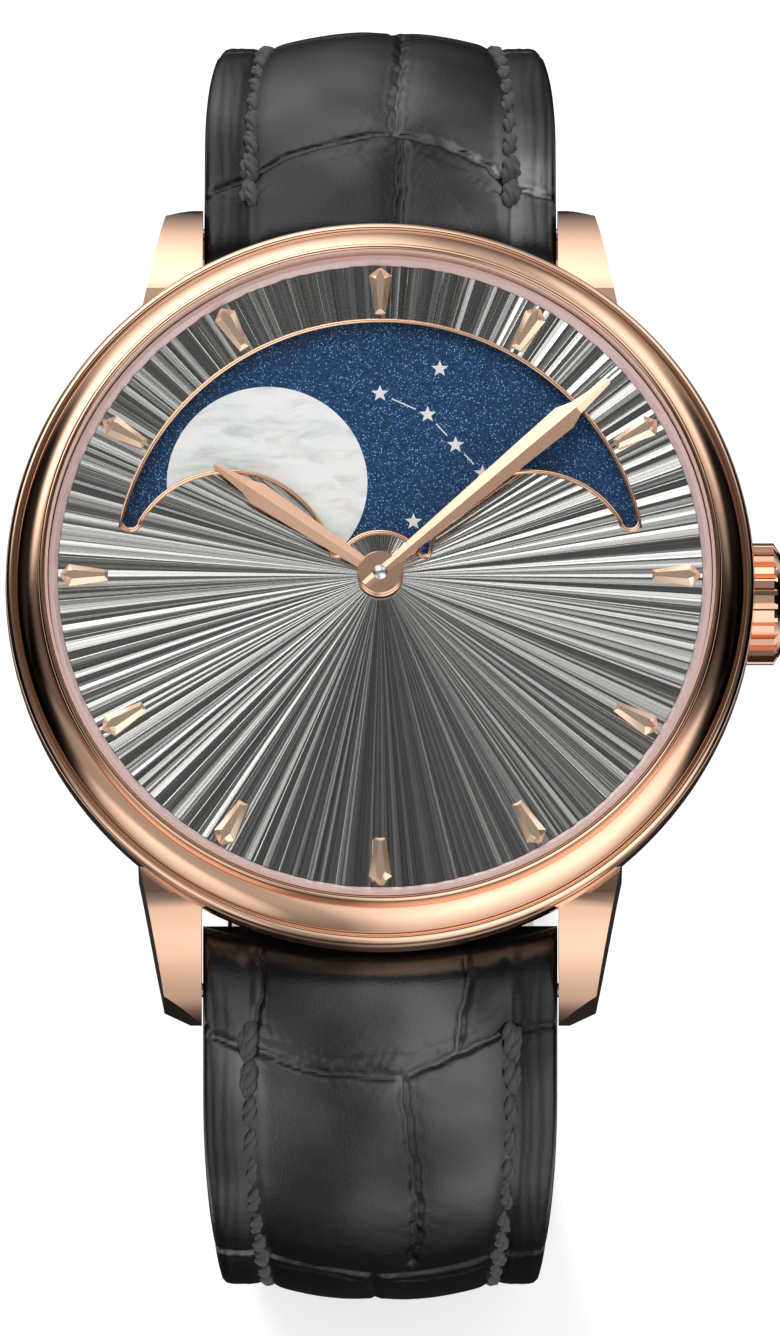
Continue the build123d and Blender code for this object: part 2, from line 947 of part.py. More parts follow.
def star_outline(x, y, radius):
    """A five-pointed star with one point up."""
    points = []
    for i in range(10):
        reach = radius * (1 if i % 2 == 0 else star_waist_share)
        dx, dy = polar(reach, 90 + 36 * i)
        points.append((x + dx, y + dy))
    return points


with BuildPart() as moon_disc:
    with BuildSketch(layer(disc_h - disc_t)):
        Circle(disc_r)
        Circle(disc_bore_r, mode=Mode.SUBTRACT)
    extrude(amount=disc_t)
moon_disc.part.label = "moon_disc"
export_step(moon_disc.part, "parts/moon_disc.step")

with BuildPart() as moons:
    with BuildSketch(layer(disc_h)):
        with Locations((-moon_across, moon_along), (moon_across, -moon_along)):
            Circle(moon_r)
    extrude(amount=moon_t)
moons.part.label = "moons"
export_step(moons.part, "parts/moons.step")

star_places = [(window_r * x, window_r * y) for x, y in star_places_share]
star_chain = star_places[star_chain_start : star_chain_start + star_chain_count]

with BuildPart() as one_sky:
    for x, y in star_places:
        with BuildSketch(layer(disc_h)):
            with BuildLine():
                Polyline(*star_outline(x, y, star_r), close=True)
            make_face()
        extrude(amount=star_t)
    for (x1, y1), (x2, y2) in zip(star_chain, star_chain[1:]):
        span = hypot(x2 - x1, y2 - y1)
        with BuildSketch(layer(disc_h)):
            with Locations(Location(((x1 + x2) / 2, (y1 + y2) / 2, 0), degrees(atan2(y2 - y1, x2 - x1)))):
                Rectangle(span - 2 * star_line_gap, star_line_width)
        extrude(amount=star_t / 2)

with BuildPart() as stars:
    with PolarLocations(0, 2):
        add(one_sky.part)
stars.part.label = "stars"
export_step(stars.part, "parts/stars.step")

# Hands, faceted, set at eight minutes past ten


def hand_blade(stations, low_h, hub_r, bore_r, angle):
    """A hand as a hub and a bevelled blade; stations are (reach, width) pairs along it."""
    left = [(-width / 2, reach) for reach, width in stations]
    right = [(width / 2, reach) for reach, width in reversed(stations)]
    with BuildPart() as hand:
        with BuildSketch(layer(low_h)):
            with BuildLine():
                Polyline(*(left + right), close=True)
            make_face()
        extrude(amount=hand_t)
        top_edges = hand.faces().sort_by(Axis.Z)[-1].edges()
        chamfer(top_edges.filter_by(lambda e: e.length > hand_t * 2.5), hand_bevel)
        with BuildSketch(layer(low_h)):
            Circle(hub_r)
        extrude(amount=hand_t)
        chamfer(hand.faces().sort_by(Axis.Z)[-1].edges().filter_by(GeomType.CIRCLE), hand_bevel)
        with BuildSketch(layer(low_h)):
            Circle(bore_r)
        extrude(amount=hand_t, mode=Mode.SUBTRACT)
    return hand.part.rotate(Axis.Z, -angle)


hour_stations = [
    (0, hour_root_width),
    (hour_shoulder_r, hour_shoulder_width),
    (hour_neck_r, hour_neck_width),
    (hour_length, hour_tip_width),
]
hour_hand = hand_blade(hour_stations, hour_hand_h, hour_hub_r, hour_pipe_r + fit / 2, hour_angle)
hour_hand.label = "hour_hand"
export_step(hour_hand, "parts/hour_hand.step")

minute_stations = [
    (0, minute_root_width),
    (minute_shoulder_r, minute_shoulder_width),
    (minute_neck_r, minute_neck_width),
    (minute_length, minute_tip_width),
]
minute_hand = hand_blade(minute_stations, minute_hand_h, minute_hub_r, cannon_r + fit / 2, minute_angle)
minute_hand.label = "minute_hand"
export_step(minute_hand, "parts/minute_hand.step")

# Crown, seal and stem on the 3 o'clock axis


def crown_plane(x):
    """Plane square to the stem at x, centred on its axis."""
    return Plane(origin=(x, 0, level(crown_h)), x_dir=(0, 1, 0), z_dir=(1, 0, 0))


def on_stem(x, outer_r, length, inner_r=0.0):
    """A disc or ring about the stem's axis, from x outwards."""
    with BuildPart() as disc:
        with BuildSketch(crown_plane(x)):
            Circle(outer_r)
            if inner_r:
                Circle(inner_r, mode=Mode.SUBTRACT)
        extrude(amount=length)
    return disc.part


def flute_outline(tip_r, root_r, count):
    """Flat-topped flutes about the origin, narrower at the top than at the foot."""
    pitch = 360 / count
    points = []
    for i in range(count):
        for radius, share in (
            (root_r, -crown_foot_share), (tip_r, -crown_land_share), (tip_r, crown_land_share), (root_r, crown_foot_share)
        ):
            points.append(polar(radius, (i + share / 2) * pitch))
    return points


with BuildPart() as crown:
    with BuildSketch(crown_plane(crown_inner_x)):
        with BuildLine():
            Polyline(*flute_outline(crown_r, crown_root_r, crown_flutes), close=True)
        make_face()
    extrude(amount=crown_outer_x - crown_inner_x)
    with BuildSketch(Plane.XZ):
        with BuildLine():
            axis_h = level(crown_h)
            shoulder_x = crown_outer_x - crown_flute_inset
            Polyline(
                (crown_inner_x, axis_h),
                (crown_inner_x, axis_h + crown_root_r),
                (crown_inner_x + crown_r - crown_root_r, axis_h + crown_r),
                (shoulder_x, axis_h + crown_r),
                (shoulder_x + crown_flute_inset / 2, axis_h + crown_root_r),
                (crown_outer_x, axis_h + crown_cap_r),
                (crown_outer_x, axis_h),
                close=True,
            )
        make_face()
    revolve(axis=Axis((0, 0, level(crown_h)), (1, 0, 0)), mode=Mode.INTERSECT)
    with BuildSketch(crown_plane(crown_inner_x)):
        Circle(crown_hollow_r)
    extrude(amount=crown_outer_x - crown_web - crown_inner_x, mode=Mode.SUBTRACT)
    with BuildSketch(crown_plane(crown_inner_x)):
        Circle(stem_r + fit / 2)
    extrude(amount=crown_outer_x - crown_web / 2 - crown_inner_x, mode=Mode.SUBTRACT)
crown.part.label = "crown"
export_step(crown.part, "parts/crown.step")

crown_seal_x = tube_end_x - seal_end_gap - seal_length
nodes_on_stem = {
    "crown_tube": on_stem(tube_start_x, tube_r, tube_end_x - tube_start_x, tube_bore_r),
    "crown_seal": on_stem(crown_seal_x, crown_hollow_r - fit, seal_length, tube_r + fit),
    "winding_stem": on_stem(stem_start_x, stem_r, crown_outer_x - crown_web / 2 - fit - stem_start_x),
}
for node, piece in nodes_on_stem.items():
    piece.label = node
    export_step(piece, f"parts/{node}.step")


def stem_pinion(x, length, tip_r, root_r, count):
    """A toothed sleeve on the stem."""
    with BuildPart() as sleeve:
        with BuildSketch(crown_plane(x)):
            with BuildLine():
                Polyline(*flute_outline(tip_r, root_r, count), close=True)
            make_face()
            Circle(stem_r + fit, mode=Mode.SUBTRACT)
        extrude(amount=length)
    return sleeve.part


sliding_pinion = stem_pinion(stem_start_x + fit, clutch_length, clutch_r, clutch_r - clutch_tooth_depth, clutch_teeth)
sliding_pinion.label = "sliding_pinion"
export_step(sliding_pinion, "parts/sliding_pinion.step")
winding_pinion = stem_pinion(winding_x, winding_length, winding_r, winding_r - clutch_tooth_depth, winding_teeth)
winding_pinion.label = "winding_pinion"
export_step(winding_pinion, "parts/winding_pinion.step")

# Where the wheels stand, seen from the dial side


def beside(centre, distance, bearing):
    x, y = polar(distance, bearing)
    return (centre[0] + x, centre[1] + y)


def pitch_r(teeth, module):
    return teeth * module / 2


def mesh_phase(teeth, phase, mate_teeth, bearing):
    """Phase that puts a gap of the mate where the first wheel has a tooth, along their line of centres."""
    past_tooth = (bearing - phase) % (360 / teeth)
    return bearing + 180 + past_tooth * teeth / mate_teeth + 180 / mate_teeth


centre_at = (0.0, 0.0)
crown_wheel_at = (crown_wheel_x, 0.0)
keyless_distance = pitch_r(ratchet_teeth + crown_wheel_teeth, ratchet_module)
barrel_distance = pitch_r(barrel_teeth + centre_pinion_teeth, barrel_module)
barrel_bearing_cos = (barrel_distance**2 + crown_wheel_x**2 - keyless_distance**2) / (2 * barrel_distance * crown_wheel_x)
barrel_bearing = degrees(acos(barrel_bearing_cos))
barrel_at = polar(barrel_distance, barrel_bearing)
third_at = polar(pitch_r(centre_teeth + third_pinion_teeth, centre_module), third_bearing)
fourth_at = beside(third_at, pitch_r(third_teeth + fourth_pinion_teeth, third_module), fourth_bearing)
escape_at = beside(fourth_at, pitch_r(fourth_teeth + escape_pinion_teeth, fourth_module), escape_bearing)
fork_at = beside(escape_at, fork_distance, fork_bearing)
balance_at = beside(fork_at, balance_distance, fork_bearing)
minute_at = polar(pitch_r(cannon_teeth + minute_teeth, motion_module), minute_bearing)
motion_distance = pitch_r(cannon_teeth + minute_teeth, motion_module)
hour_module = 2 * motion_distance / (minute_pinion_teeth + hour_teeth)
moon_first_distance = pitch_r(moon_drive_teeth + moon_first_teeth, moon_module)
moon_second_distance = pitch_r(moon_ring_teeth - moon_second_pinion_teeth, moon_ring_module)
moon_fine_module = 2 * (moon_second_distance - moon_first_distance) / (moon_first_pinion_teeth + moon_second_teeth)
moon_first_at = polar(moon_first_distance, moon_bearing)
moon_second_at = polar(moon_second_distance, moon_bearing)

crown_wheel_bearing = degrees(atan2(barrel_at[1], barrel_at[0] - crown_wheel_x))
ratchet_phase = mesh_phase(crown_wheel_teeth, 0.0, ratchet_teeth, crown_wheel_bearing)
centre_phase = mesh_phase(barrel_teeth, 0.0, centre_pinion_teeth, barrel_bearing + 180)
third_phase = mesh_phase(centre_teeth, 0.0, third_pinion_teeth, third_bearing)
fourth_phase = mesh_phase(third_teeth, 0.0, fourth_pinion_teeth, fourth_bearing)
escape_phase = mesh_phase(fourth_teeth, 0.0, escape_pinion_teeth, escape_bearing)
minute_phase = mesh_phase(cannon_teeth, 0.0, minute_teeth, minute_bearing)
hour_phase = mesh_phase(minute_pinion_teeth, 0.0, hour_teeth, minute_bearing + 180)
moon_first_phase = mesh_phase(moon_drive_teeth, 0.0, moon_first_teeth, moon_bearing)
moon_second_phase = mesh_phase(moon_first_pinion_teeth, 0.0, moon_second_teeth, moon_bearing)
past_tooth = (moon_bearing - 0.0) % (360 / moon_second_pinion_teeth)
moon_ring_phase = moon_bearing - past_tooth * moon_second_pinion_teeth / moon_ring_teeth


def gear_outline(teeth, module, phase, centre=centre_at):
    """A fine-toothed wheel's outline, a point on each tooth's tip and one in each gap."""
    points = []
    for i in range(teeth):
        tip = polar(pitch_r(teeth, module) + tip_share * module, phase + i * 360 / teeth)
        gap = polar(pitch_r(teeth, module) - root_share * module, phase + (i + 0.5) * 360 / teeth)
        points += [(centre[0] + tip[0], centre[1] + tip[1]), (centre[0] + gap[0], centre[1] + gap[1])]
    return points


def mobile(centre, plates, shafts, bore=None, windows=None):
    """A wheel and its arbor: toothed plates as (outline, low, high), shafts as (radius, low, high).

    windows is (outer, inner, arms, low, high) for the openings between a wheel's arms.
    """
    with BuildPart() as piece:
        for outline, low_h, high_h in plates:
            with BuildSketch(layer(low_h)):
                with BuildLine():
                    Polyline(*outline, close=True)
                make_face()
            extrude(amount=high_h - low_h)
        if windows:
            outer, inner, arms, low_h, high_h = windows
            with BuildSketch(layer(low_h)):
                with Locations(centre):
                    Circle(outer)
                    Circle(inner, mode=Mode.SUBTRACT)
                with Locations(centre):
                    with PolarLocations(outer / 2, arms):
                        Rectangle(outer + overrun, wheel_arm, mode=Mode.SUBTRACT)
            extrude(amount=high_h - low_h, mode=Mode.SUBTRACT)
        for radius, low_h, high_h in shafts:
            with BuildSketch(layer(low_h)):
                with Locations(centre):
                    Circle(radius)
            extrude(amount=high_h - low_h)
        if bore:
            radius, low_h, high_h = bore
            with BuildSketch(layer(low_h)):
                with Locations(centre):
                    Circle(radius)
            extrude(amount=high_h - low_h, mode=Mode.SUBTRACT)
    return piece.part


def arms_of(teeth, module, arms, low_h):
    """The windows of a crossed-out wheel."""
    outer = pitch_r(teeth, module) - root_share * module - wheel_rim
    return (outer, wheel_hub_r, arms, low_h, low_h + wheel_t)


def train_shafts(low_h, thickness, radius):
    """An arbor between a bridge and the main plate, with a pivot at each end."""
    return [
        (radius, low_h + thickness + end_shake, plate_low_h - end_shake),
        (pivot_r, low_h + jewel_sink, plate_low_h + pivot_length),
    ]


movement = {}
movement["ratchet_wheel"] = mobile(
    barrel_at,
    [(gear_outline(ratchet_teeth, ratchet_module, ratchet_phase, barrel_at), keyless_h, keyless_h + keyless_t)],
    [],
    bore=(barrel_square_r + fit / 2, keyless_h, keyless_h + keyless_t),
)
movement["crown_wheel"] = mobile(
    crown_wheel_at,
    [(gear_outline(crown_wheel_teeth, ratchet_module, 0.0, crown_wheel_at), keyless_h, keyless_h + keyless_t)],
    [],
    bore=(crown_wheel_core_r + fit, keyless_h, keyless_h + keyless_t),
)
movement["barrel_arbor"] = mobile(
    barrel_at,
    [],
    [
        (barrel_square_r, keyless_h, barrel_high_h + end_shake),
        (barrel_core_r, barrel_low_h + barrel_flange_t + fit, barrel_high_h - barrel_skin - fit),
        (barrel_square_r - pivot_r, barrel_high_h, plate_low_h + pivot_length),
    ],
    bore=(screw_r + fit, keyless_h, keyless_h + arbor_bore_depth),
)
barrel_shell = mobile(
    barrel_at,
    [(gear_outline(barrel_teeth, barrel_module, 0.0, barrel_at), barrel_low_h, barrel_low_h + barrel_flange_t)],
    [(barrel_drum_r, barrel_low_h, barrel_high_h)],
    bore=(barrel_square_r + pivot_gap, barrel_low_h, barrel_high_h),
)
with BuildPart() as barrel:
    add(barrel_shell)
    with BuildSketch(layer(barrel_low_h + barrel_flange_t)):
        with Locations(barrel_at):
            Circle(barrel_drum_r - barrel_wall)
    extrude(amount=barrel_high_h - barrel_skin - barrel_low_h - barrel_flange_t, mode=Mode.SUBTRACT)
movement["barrel"] = barrel.part


def spiral(centre, inner_r, outer_r, turns, steps, thickness, low_h, width):
    """A flat spiral ribbon standing on edge."""
    count = turns * steps
    inner, outer = [], []
    for i in range(count + 1):
        radius = inner_r + (outer_r - inner_r) * i / count
        for side, points in ((-1, inner), (1, outer)):
            x, y = polar(radius + side * thickness / 2, 360 * i / steps)
            points.append((centre[0] + x, centre[1] + y))
    with BuildPart() as ribbon:
        with BuildSketch(layer(low_h)):
            with BuildLine():
                Polyline(*(inner + outer[::-1]), close=True)
            make_face()
        extrude(amount=width)
    return ribbon.part


spring_low_h = barrel_low_h + barrel_flange_t + spring_gap
movement["mainspring"] = spiral(
    barrel_at,
    barrel_core_r + mainspring_t,
    barrel_drum_r - barrel_wall - mainspring_t,
    mainspring_turns,
    mainspring_steps,
    mainspring_t,
    spring_low_h,
    barrel_high_h - barrel_skin - spring_gap - spring_low_h,
)
movement["centre_wheel"] = mobile(
    centre_at,
    [
        (gear_outline(centre_teeth, centre_module, 0.0), centre_wheel_h, centre_wheel_h + wheel_t),
        (
            gear_outline(centre_pinion_teeth, barrel_module, centre_phase),
            bridge_low_h + bridge_t + end_shake,
            centre_wheel_h,
        ),
    ],
    [
        (centre_arbor_r, bridge_low_h + jewel_sink, minute_hand_h - pin_seat),
    ],
    windows=arms_of(centre_teeth, centre_module, 5, centre_wheel_h),
)
movement["third_wheel"] = mobile(
    third_at,
    [
        (gear_outline(third_teeth, third_module, 0.0, third_at), third_wheel_h, third_wheel_h + wheel_t),
        (
            gear_outline(third_pinion_teeth, centre_module, third_phase, third_at),
            centre_wheel_h - fit,
            plate_low_h - end_shake,
        ),
    ],
    train_shafts(bridge_low_h, bridge_t, arbor_r),
    windows=arms_of(third_teeth, third_module, 5, third_wheel_h),
)
movement["fourth_wheel"] = mobile(
    fourth_at,
    [
        (gear_outline(fourth_teeth, fourth_module, 0.0, fourth_at), fourth_wheel_h, fourth_wheel_h + wheel_t),
        (
            gear_outline(fourth_pinion_teeth, third_module, fourth_phase, fourth_at),
            third_wheel_h - fit,
            third_wheel_h + wheel_t + fit,
        ),
    ],
    train_shafts(bridge_low_h, bridge_t, arbor_r),
    windows=arms_of(fourth_teeth, fourth_module, 5, fourth_wheel_h),
)


def escape_outline(centre):
    """Fifteen slanting teeth with narrow tips."""
    points = []
    pitch = 360 / escape_teeth
    for i in range(escape_teeth):
        for radius, share in ((escape_rim_r, -escape_foot_share), (escape_r, 0.0), (escape_r, escape_tip_share)):
            x, y = polar(radius, (i + share) * pitch)
            points.append((centre[0] + x, centre[1] + y))
    return points


movement["escape_wheel"] = mobile(
    escape_at,
    [
        (escape_outline(escape_at), escape_wheel_h, escape_wheel_h + wheel_t),
        (
            gear_outline(escape_pinion_teeth, fourth_module, escape_phase, escape_at),
            fourth_wheel_h - fit,
            fourth_wheel_h + wheel_t + fit,
        ),
    ],
    train_shafts(bridge_low_h, bridge_t, escape_arbor_r),
    windows=(escape_rim_r - wheel_rim / 2, wheel_hub_r, 4, escape_wheel_h, escape_wheel_h + wheel_t),
)

# Pallet fork, its two stones just clear of the escape wheel's tips

with BuildPart() as pallet_fork:
    with BuildSketch(layer(escape_wheel_h)):
        with Locations(fork_at):
            Circle(fork_boss_r)
        with Locations(Location((*beside(fork_at, fork_length / 2, fork_bearing), 0), fork_bearing)):
            Rectangle(fork_length, fork_arm_width)
        for side in (-1, 1):
            stone_at = beside(
                escape_at, escape_r + fork_stone_gap + fork_stone_length / 2, fork_bearing + side * fork_stone_bearing
            )
            arm_x, arm_y = stone_at[0] - fork_at[0], stone_at[1] - fork_at[1]
            arm_middle = ((stone_at[0] + fork_at[0]) / 2, (stone_at[1] + fork_at[1]) / 2, 0)
            with Locations(Location(arm_middle, degrees(atan2(arm_y, arm_x)))):
                Rectangle(hypot(arm_x, arm_y), fork_arm_width)
            with Locations(Location((*stone_at, 0), fork_bearing + side * fork_stone_bearing)):
                Rectangle(fork_stone_length, fork_stone_width)
    extrude(amount=fork_t)
    for radius, low_h, high_h in train_shafts(pallet_cock_h, pallet_cock_t, arbor_r):
        with BuildSketch(layer(low_h)):
            with Locations(fork_at):
                Circle(radius)
        extrude(amount=high_h - low_h)
movement["pallet_fork"] = pallet_fork.part

with BuildPart() as balance_wheel:
    with BuildSketch(layer(balance_low_h)):
        with Locations(balance_at):
            Circle(balance_r)
            Circle(balance_r - balance_rim, mode=Mode.SUBTRACT)
    extrude(amount=balance_rim_t)
    arm_low_h = balance_low_h + (balance_rim_t - balance_arm_t) / 2
    with BuildSketch(layer(arm_low_h)):
        with Locations(balance_at):
            Circle(balance_hub_r)
            with PolarLocations((balance_r - balance_rim) / 2, balance_arms):
                Rectangle(balance_r, balance_arm_width)
    extrude(amount=balance_arm_t)
    for radius, low_h, high_h in (
        (staff_r, cock_low_h + cock_t + end_shake, plate_low_h - end_shake),
        (staff_pivot_r, cock_low_h + jewel_sink, plate_low_h + pivot_length),
        (roller_r, roller_h, roller_h + roller_t),
    ):
        with BuildSketch(layer(low_h)):
            with Locations(balance_at):
                Circle(radius)
        extrude(amount=high_h - low_h)
    for number in range(balance_screw_count):
        bearing = 360 * (number + 1 / 2) / balance_screw_count
        seat = beside(balance_at, balance_r - balance_rim / 2, bearing)
        outward = (cos(radians(bearing)), sin(radians(bearing)), 0)
        with BuildSketch(Plane(origin=(*seat, level(balance_low_h + balance_rim_t / 2)), z_dir=outward)):
            Circle(balance_screw_r)
        extrude(amount=balance_rim / 2 + balance_screw_rise)
movement["balance_wheel"] = balance_wheel.part
movement["hairspring"] = spiral(
    balance_at,
    hairspring_inner_r,
    hairspring_outer_r,
    hairspring_turns,
    hairspring_steps,
    hairspring_t,
    hairspring_h,
    hairspring_width,
)

# Motion works and moon train under the dial

movement["cannon_pinion"] = mobile(
    centre_at,
    [(gear_outline(cannon_teeth, motion_module, 0.0), cannon_h, cannon_h + cannon_leaf_t)],
    [(cannon_r, cannon_h, minute_hand_h + hand_t)],
    bore=(cannon_bore_r, cannon_h, minute_hand_h + hand_t),
)
movement["minute_wheel"] = mobile(
    minute_at,
    [
        (gear_outline(minute_teeth, motion_module, minute_phase, minute_at), minute_wheel_h, minute_wheel_h + wheel_t),
        (
            gear_outline(minute_pinion_teeth, hour_module, 0.0, minute_at),
            minute_wheel_h + wheel_t,
            minute_pinion_high_h,
        ),
    ],
    [(pivot_r, plate_high_h - pivot_length, minute_pinion_high_h)],
)
movement["hour_wheel"] = mobile(
    centre_at,
    [
        (gear_outline(hour_teeth, hour_module, hour_phase), hour_wheel_h, hour_wheel_h + wheel_t),
        (gear_outline(moon_drive_teeth, moon_module, 0.0), moon_drive_h, moon_drive_h + wheel_t),
    ],
    [(hour_pipe_r, hour_wheel_h, hour_hand_h + hand_t)],
    bore=(hour_pipe_bore_r, hour_wheel_h, hour_hand_h + hand_t),
)
movement["moon_wheel_1"] = mobile(
    moon_first_at,
    [
        (gear_outline(moon_first_teeth, moon_module, moon_first_phase, moon_first_at), moon_drive_h, moon_drive_h + wheel_t),
        (
            gear_outline(moon_first_pinion_teeth, moon_fine_module, 0.0, moon_first_at),
            moon_second_wheel_h - fit,
            moon_drive_h,
        ),
    ],
    [(pivot_r, plate_high_h - pivot_length, moon_drive_h + wheel_t)],
)
movement["moon_wheel_2"] = mobile(
    moon_second_at,
    [
        (
            gear_outline(moon_second_teeth, moon_fine_module, moon_second_phase, moon_second_at),
            moon_second_wheel_h,
            moon_second_wheel_h + wheel_t,
        ),
        (
            gear_outline(moon_second_pinion_teeth, moon_ring_module, 0.0, moon_second_at),
            moon_ring_low_h,
            moon_ring_low_h + moon_ring_t,
        ),
    ],
    [(pivot_r * 2, plate_high_h - pivot_length, moon_ring_low_h)],
)
ring_gear_hole = []
for i in range(moon_ring_teeth):
    groove = pitch_r(moon_ring_teeth, moon_ring_module) + root_share * moon_ring_module
    tooth = pitch_r(moon_ring_teeth, moon_ring_module) - tip_share * moon_ring_module
    ring_gear_hole.append(polar(groove, moon_ring_phase + i * 360 / moon_ring_teeth))
    ring_gear_hole.append(polar(tooth, moon_ring_phase + (i + 0.5) * 360 / moon_ring_teeth))
with BuildPart() as moon_ring_gear:
    with BuildSketch(layer(moon_ring_low_h)):
        Circle(moon_ring_r)
        with BuildLine():
            Polyline(*ring_gear_hole, close=True)
        make_face(mode=Mode.SUBTRACT)
    extrude(amount=moon_ring_t)
    with BuildSketch(layer(moon_ring_low_h + moon_ring_t)):
        Circle(moon_ring_r)
        Circle(moon_ring_r - moon_ring_wall, mode=Mode.SUBTRACT)
    extrude(amount=disc_h - disc_t - moon_ring_low_h - moon_ring_t)
movement["moon_ring_gear"] = moon_ring_gear.part

with BuildPart() as hand_pin:
    with BuildSketch(Plane.XZ):
        seat_z = level(minute_hand_h + hand_t + seat_gap)
        shank_r = cannon_bore_r - fit
        with BuildLine():
            Polyline((0, seat_z - pin_seat / 2), (shank_r, seat_z - pin_seat / 2), (shank_r, seat_z), (pin_r, seat_z))
            ThreePointArc(
                (pin_r, seat_z),
                (pin_r / 2, seat_z + pin_rise - dome_fall(pin_r, pin_rise, pin_r / 2)),
                (0, seat_z + pin_rise),
            )
            Line((0, seat_z + pin_rise), (0, seat_z - pin_seat / 2))
        make_face()
    revolve(axis=Axis.Z)
movement["hand_pin"] = hand_pin.part

# Plate, bridges and cocks


def drilled(piece, low_h, high_h, holes):
    """A piece with round holes cut through it; holes are (place, radius) pairs."""
    with BuildPart() as result:
        add(piece)
        for place, radius in holes:
            with BuildSketch(layer(low_h)):
                with Locations(place):
                    Circle(radius)
            extrude(amount=high_h - low_h, mode=Mode.SUBTRACT)
    return result.part


def screw(place, seat_h, head_r=screw_head_r, end_h=plate_low_h + screw_bite):
    """A slotted screw, its head on the back side; it goes into the main plate if no end is given."""
    with BuildPart() as result:
        with BuildSketch(layer(seat_h - screw_head_t)):
            with Locations(place):
                Circle(head_r)
                Rectangle(3 * head_r, screw_slot_width, mode=Mode.SUBTRACT)
        extrude(amount=screw_slot_depth)
        with BuildSketch(layer(seat_h - screw_head_t + screw_slot_depth)):
            with Locations(place):
                Circle(head_r)
        extrude(amount=screw_head_t - screw_slot_depth)
        with BuildSketch(layer(seat_h)):
            with Locations(place):
                Circle(screw_r)
        extrude(amount=end_h - seat_h)
    return result.part


click_at = beside(barrel_at, pitch_r(ratchet_teeth, ratchet_module) + click_distance, click_bearing)
barrel_pillars = [polar(pillar_circle_r, bearing) for bearing in pillar_bearings]
train_pillars = [polar(pillar_circle_r, bearing) for bearing in train_pillar_bearings]
cock_foot_at = beside(balance_at, balance_r + cock_foot_gap + cock_foot_r, cock_bearing)
pallet_foot_at = beside(fork_at, pallet_cock_reach, fork_bearing - 90)
screw_places = barrel_pillars + train_pillars + [cock_foot_at, pallet_foot_at]
free_pivots = [third_at, fourth_at, escape_at, fork_at, balance_at]

with BuildPart() as main_plate:
    with BuildSketch(layer(plate_low_h)):
        Circle(movement_r)
    extrude(amount=plate_high_h - plate_low_h)
    chamfer(main_plate.edges().filter_by(GeomType.CIRCLE), plate_edge)
plate_holes = (
    [(place, pivot_r + pivot_gap) for place in free_pivots + [minute_at, moon_first_at]]
    + [(moon_second_at, 2 * pivot_r + pivot_gap), (centre_at, centre_arbor_r + pivot_gap)]
    + [(barrel_at, barrel_square_r - pivot_r + pivot_gap)]
    + [(place, screw_r + fit) for place in screw_places]
)
movement["main_plate"] = drilled(main_plate.part, plate_low_h, plate_high_h, plate_holes)
movement["movement_ring"] = ring(case_bore_r - ring_gap, movement_r + ring_gap, ring_low_h, ring_high_h)
with BuildPart() as movement_ring:
    add(movement["movement_ring"])
    with BuildSketch(crown_plane(movement_r - overrun)):
        Circle(stem_r + tube_gap)
    extrude(amount=case_r - movement_r, mode=Mode.SUBTRACT)
movement["movement_ring"] = movement_ring.part

for node, side, pillars in (("barrel_bridge", 1, barrel_pillars), ("train_bridge", -1, train_pillars)):
    with BuildPart() as bridge:
        with BuildSketch(layer(bridge_low_h)):
            Circle(bridge_r)
            with Locations((bridge_slit_x - side * (movement_r - bridge_slit / 2), 0)):
                Rectangle(2 * movement_r, 3 * movement_r, mode=Mode.SUBTRACT)
            if side > 0:
                with Locations((0, bridge_foot_y)):
                    Rectangle(3 * movement_r, movement_r, align=(Align.CENTER, Align.MAX), mode=Mode.SUBTRACT)
            with Locations(balance_at):
                Circle(balance_r + balance_clearance, mode=Mode.SUBTRACT)
        extrude(amount=bridge_t)
        chamfer(bridge.faces().sort_by(Axis.Z)[0].edges(), bridge_edge)
        with BuildSketch(layer(bridge_low_h + bridge_t)):
            with Locations(*pillars):
                Circle(pillar_r)
        extrude(amount=plate_low_h - bridge_low_h - bridge_t)
    movement[node] = drilled(
        bridge.part, bridge_low_h, bridge_low_h + screw_sink, [(place, screw_head_r + fit) for place in pillars]
    )

barrel_bridge_holes = [(barrel_at, barrel_square_r + pivot_gap), (centre_at, centre_jewel_r)]
barrel_bridge_holes += [(place, screw_r + fit) for place in barrel_pillars + [crown_wheel_at, click_at]]
train_bridge_holes = [(place, jewel_r) for place in (third_at, fourth_at, escape_at)]
train_bridge_holes += [(place, screw_r + fit) for place in train_pillars]
with BuildPart() as barrel_bridge:
    add(movement["barrel_bridge"])
    with BuildSketch(layer(keyless_h - fit)):
        with Locations(crown_wheel_at):
            Circle(crown_wheel_core_r)
    extrude(amount=bridge_low_h - keyless_h + fit)
movement["barrel_bridge"] = drilled(barrel_bridge.part, keyless_h - fit, plate_low_h, barrel_bridge_holes)
with BuildPart() as barrel_bridge:
    add(movement["barrel_bridge"])
    with BuildSketch(layer(bridge_low_h)):
        with Locations((winding_x + winding_length / 2, 0)):
            Rectangle(winding_length + 2 * window_gap, 2 * (winding_r + window_gap))
    extrude(amount=bridge_t, mode=Mode.SUBTRACT)
    with BuildSketch(layer(crown_h - clutch_r - window_gap)):
        with Locations((stem_start_x - window_gap, 0)):
            Rectangle(movement_r, 2 * (clutch_r + window_gap), align=(Align.MIN, Align.CENTER))
    extrude(amount=bridge_t, mode=Mode.SUBTRACT)
movement["barrel_bridge"] = barrel_bridge.part
movement["train_bridge"] = drilled(movement["train_bridge"], bridge_low_h, plate_low_h, train_bridge_holes)


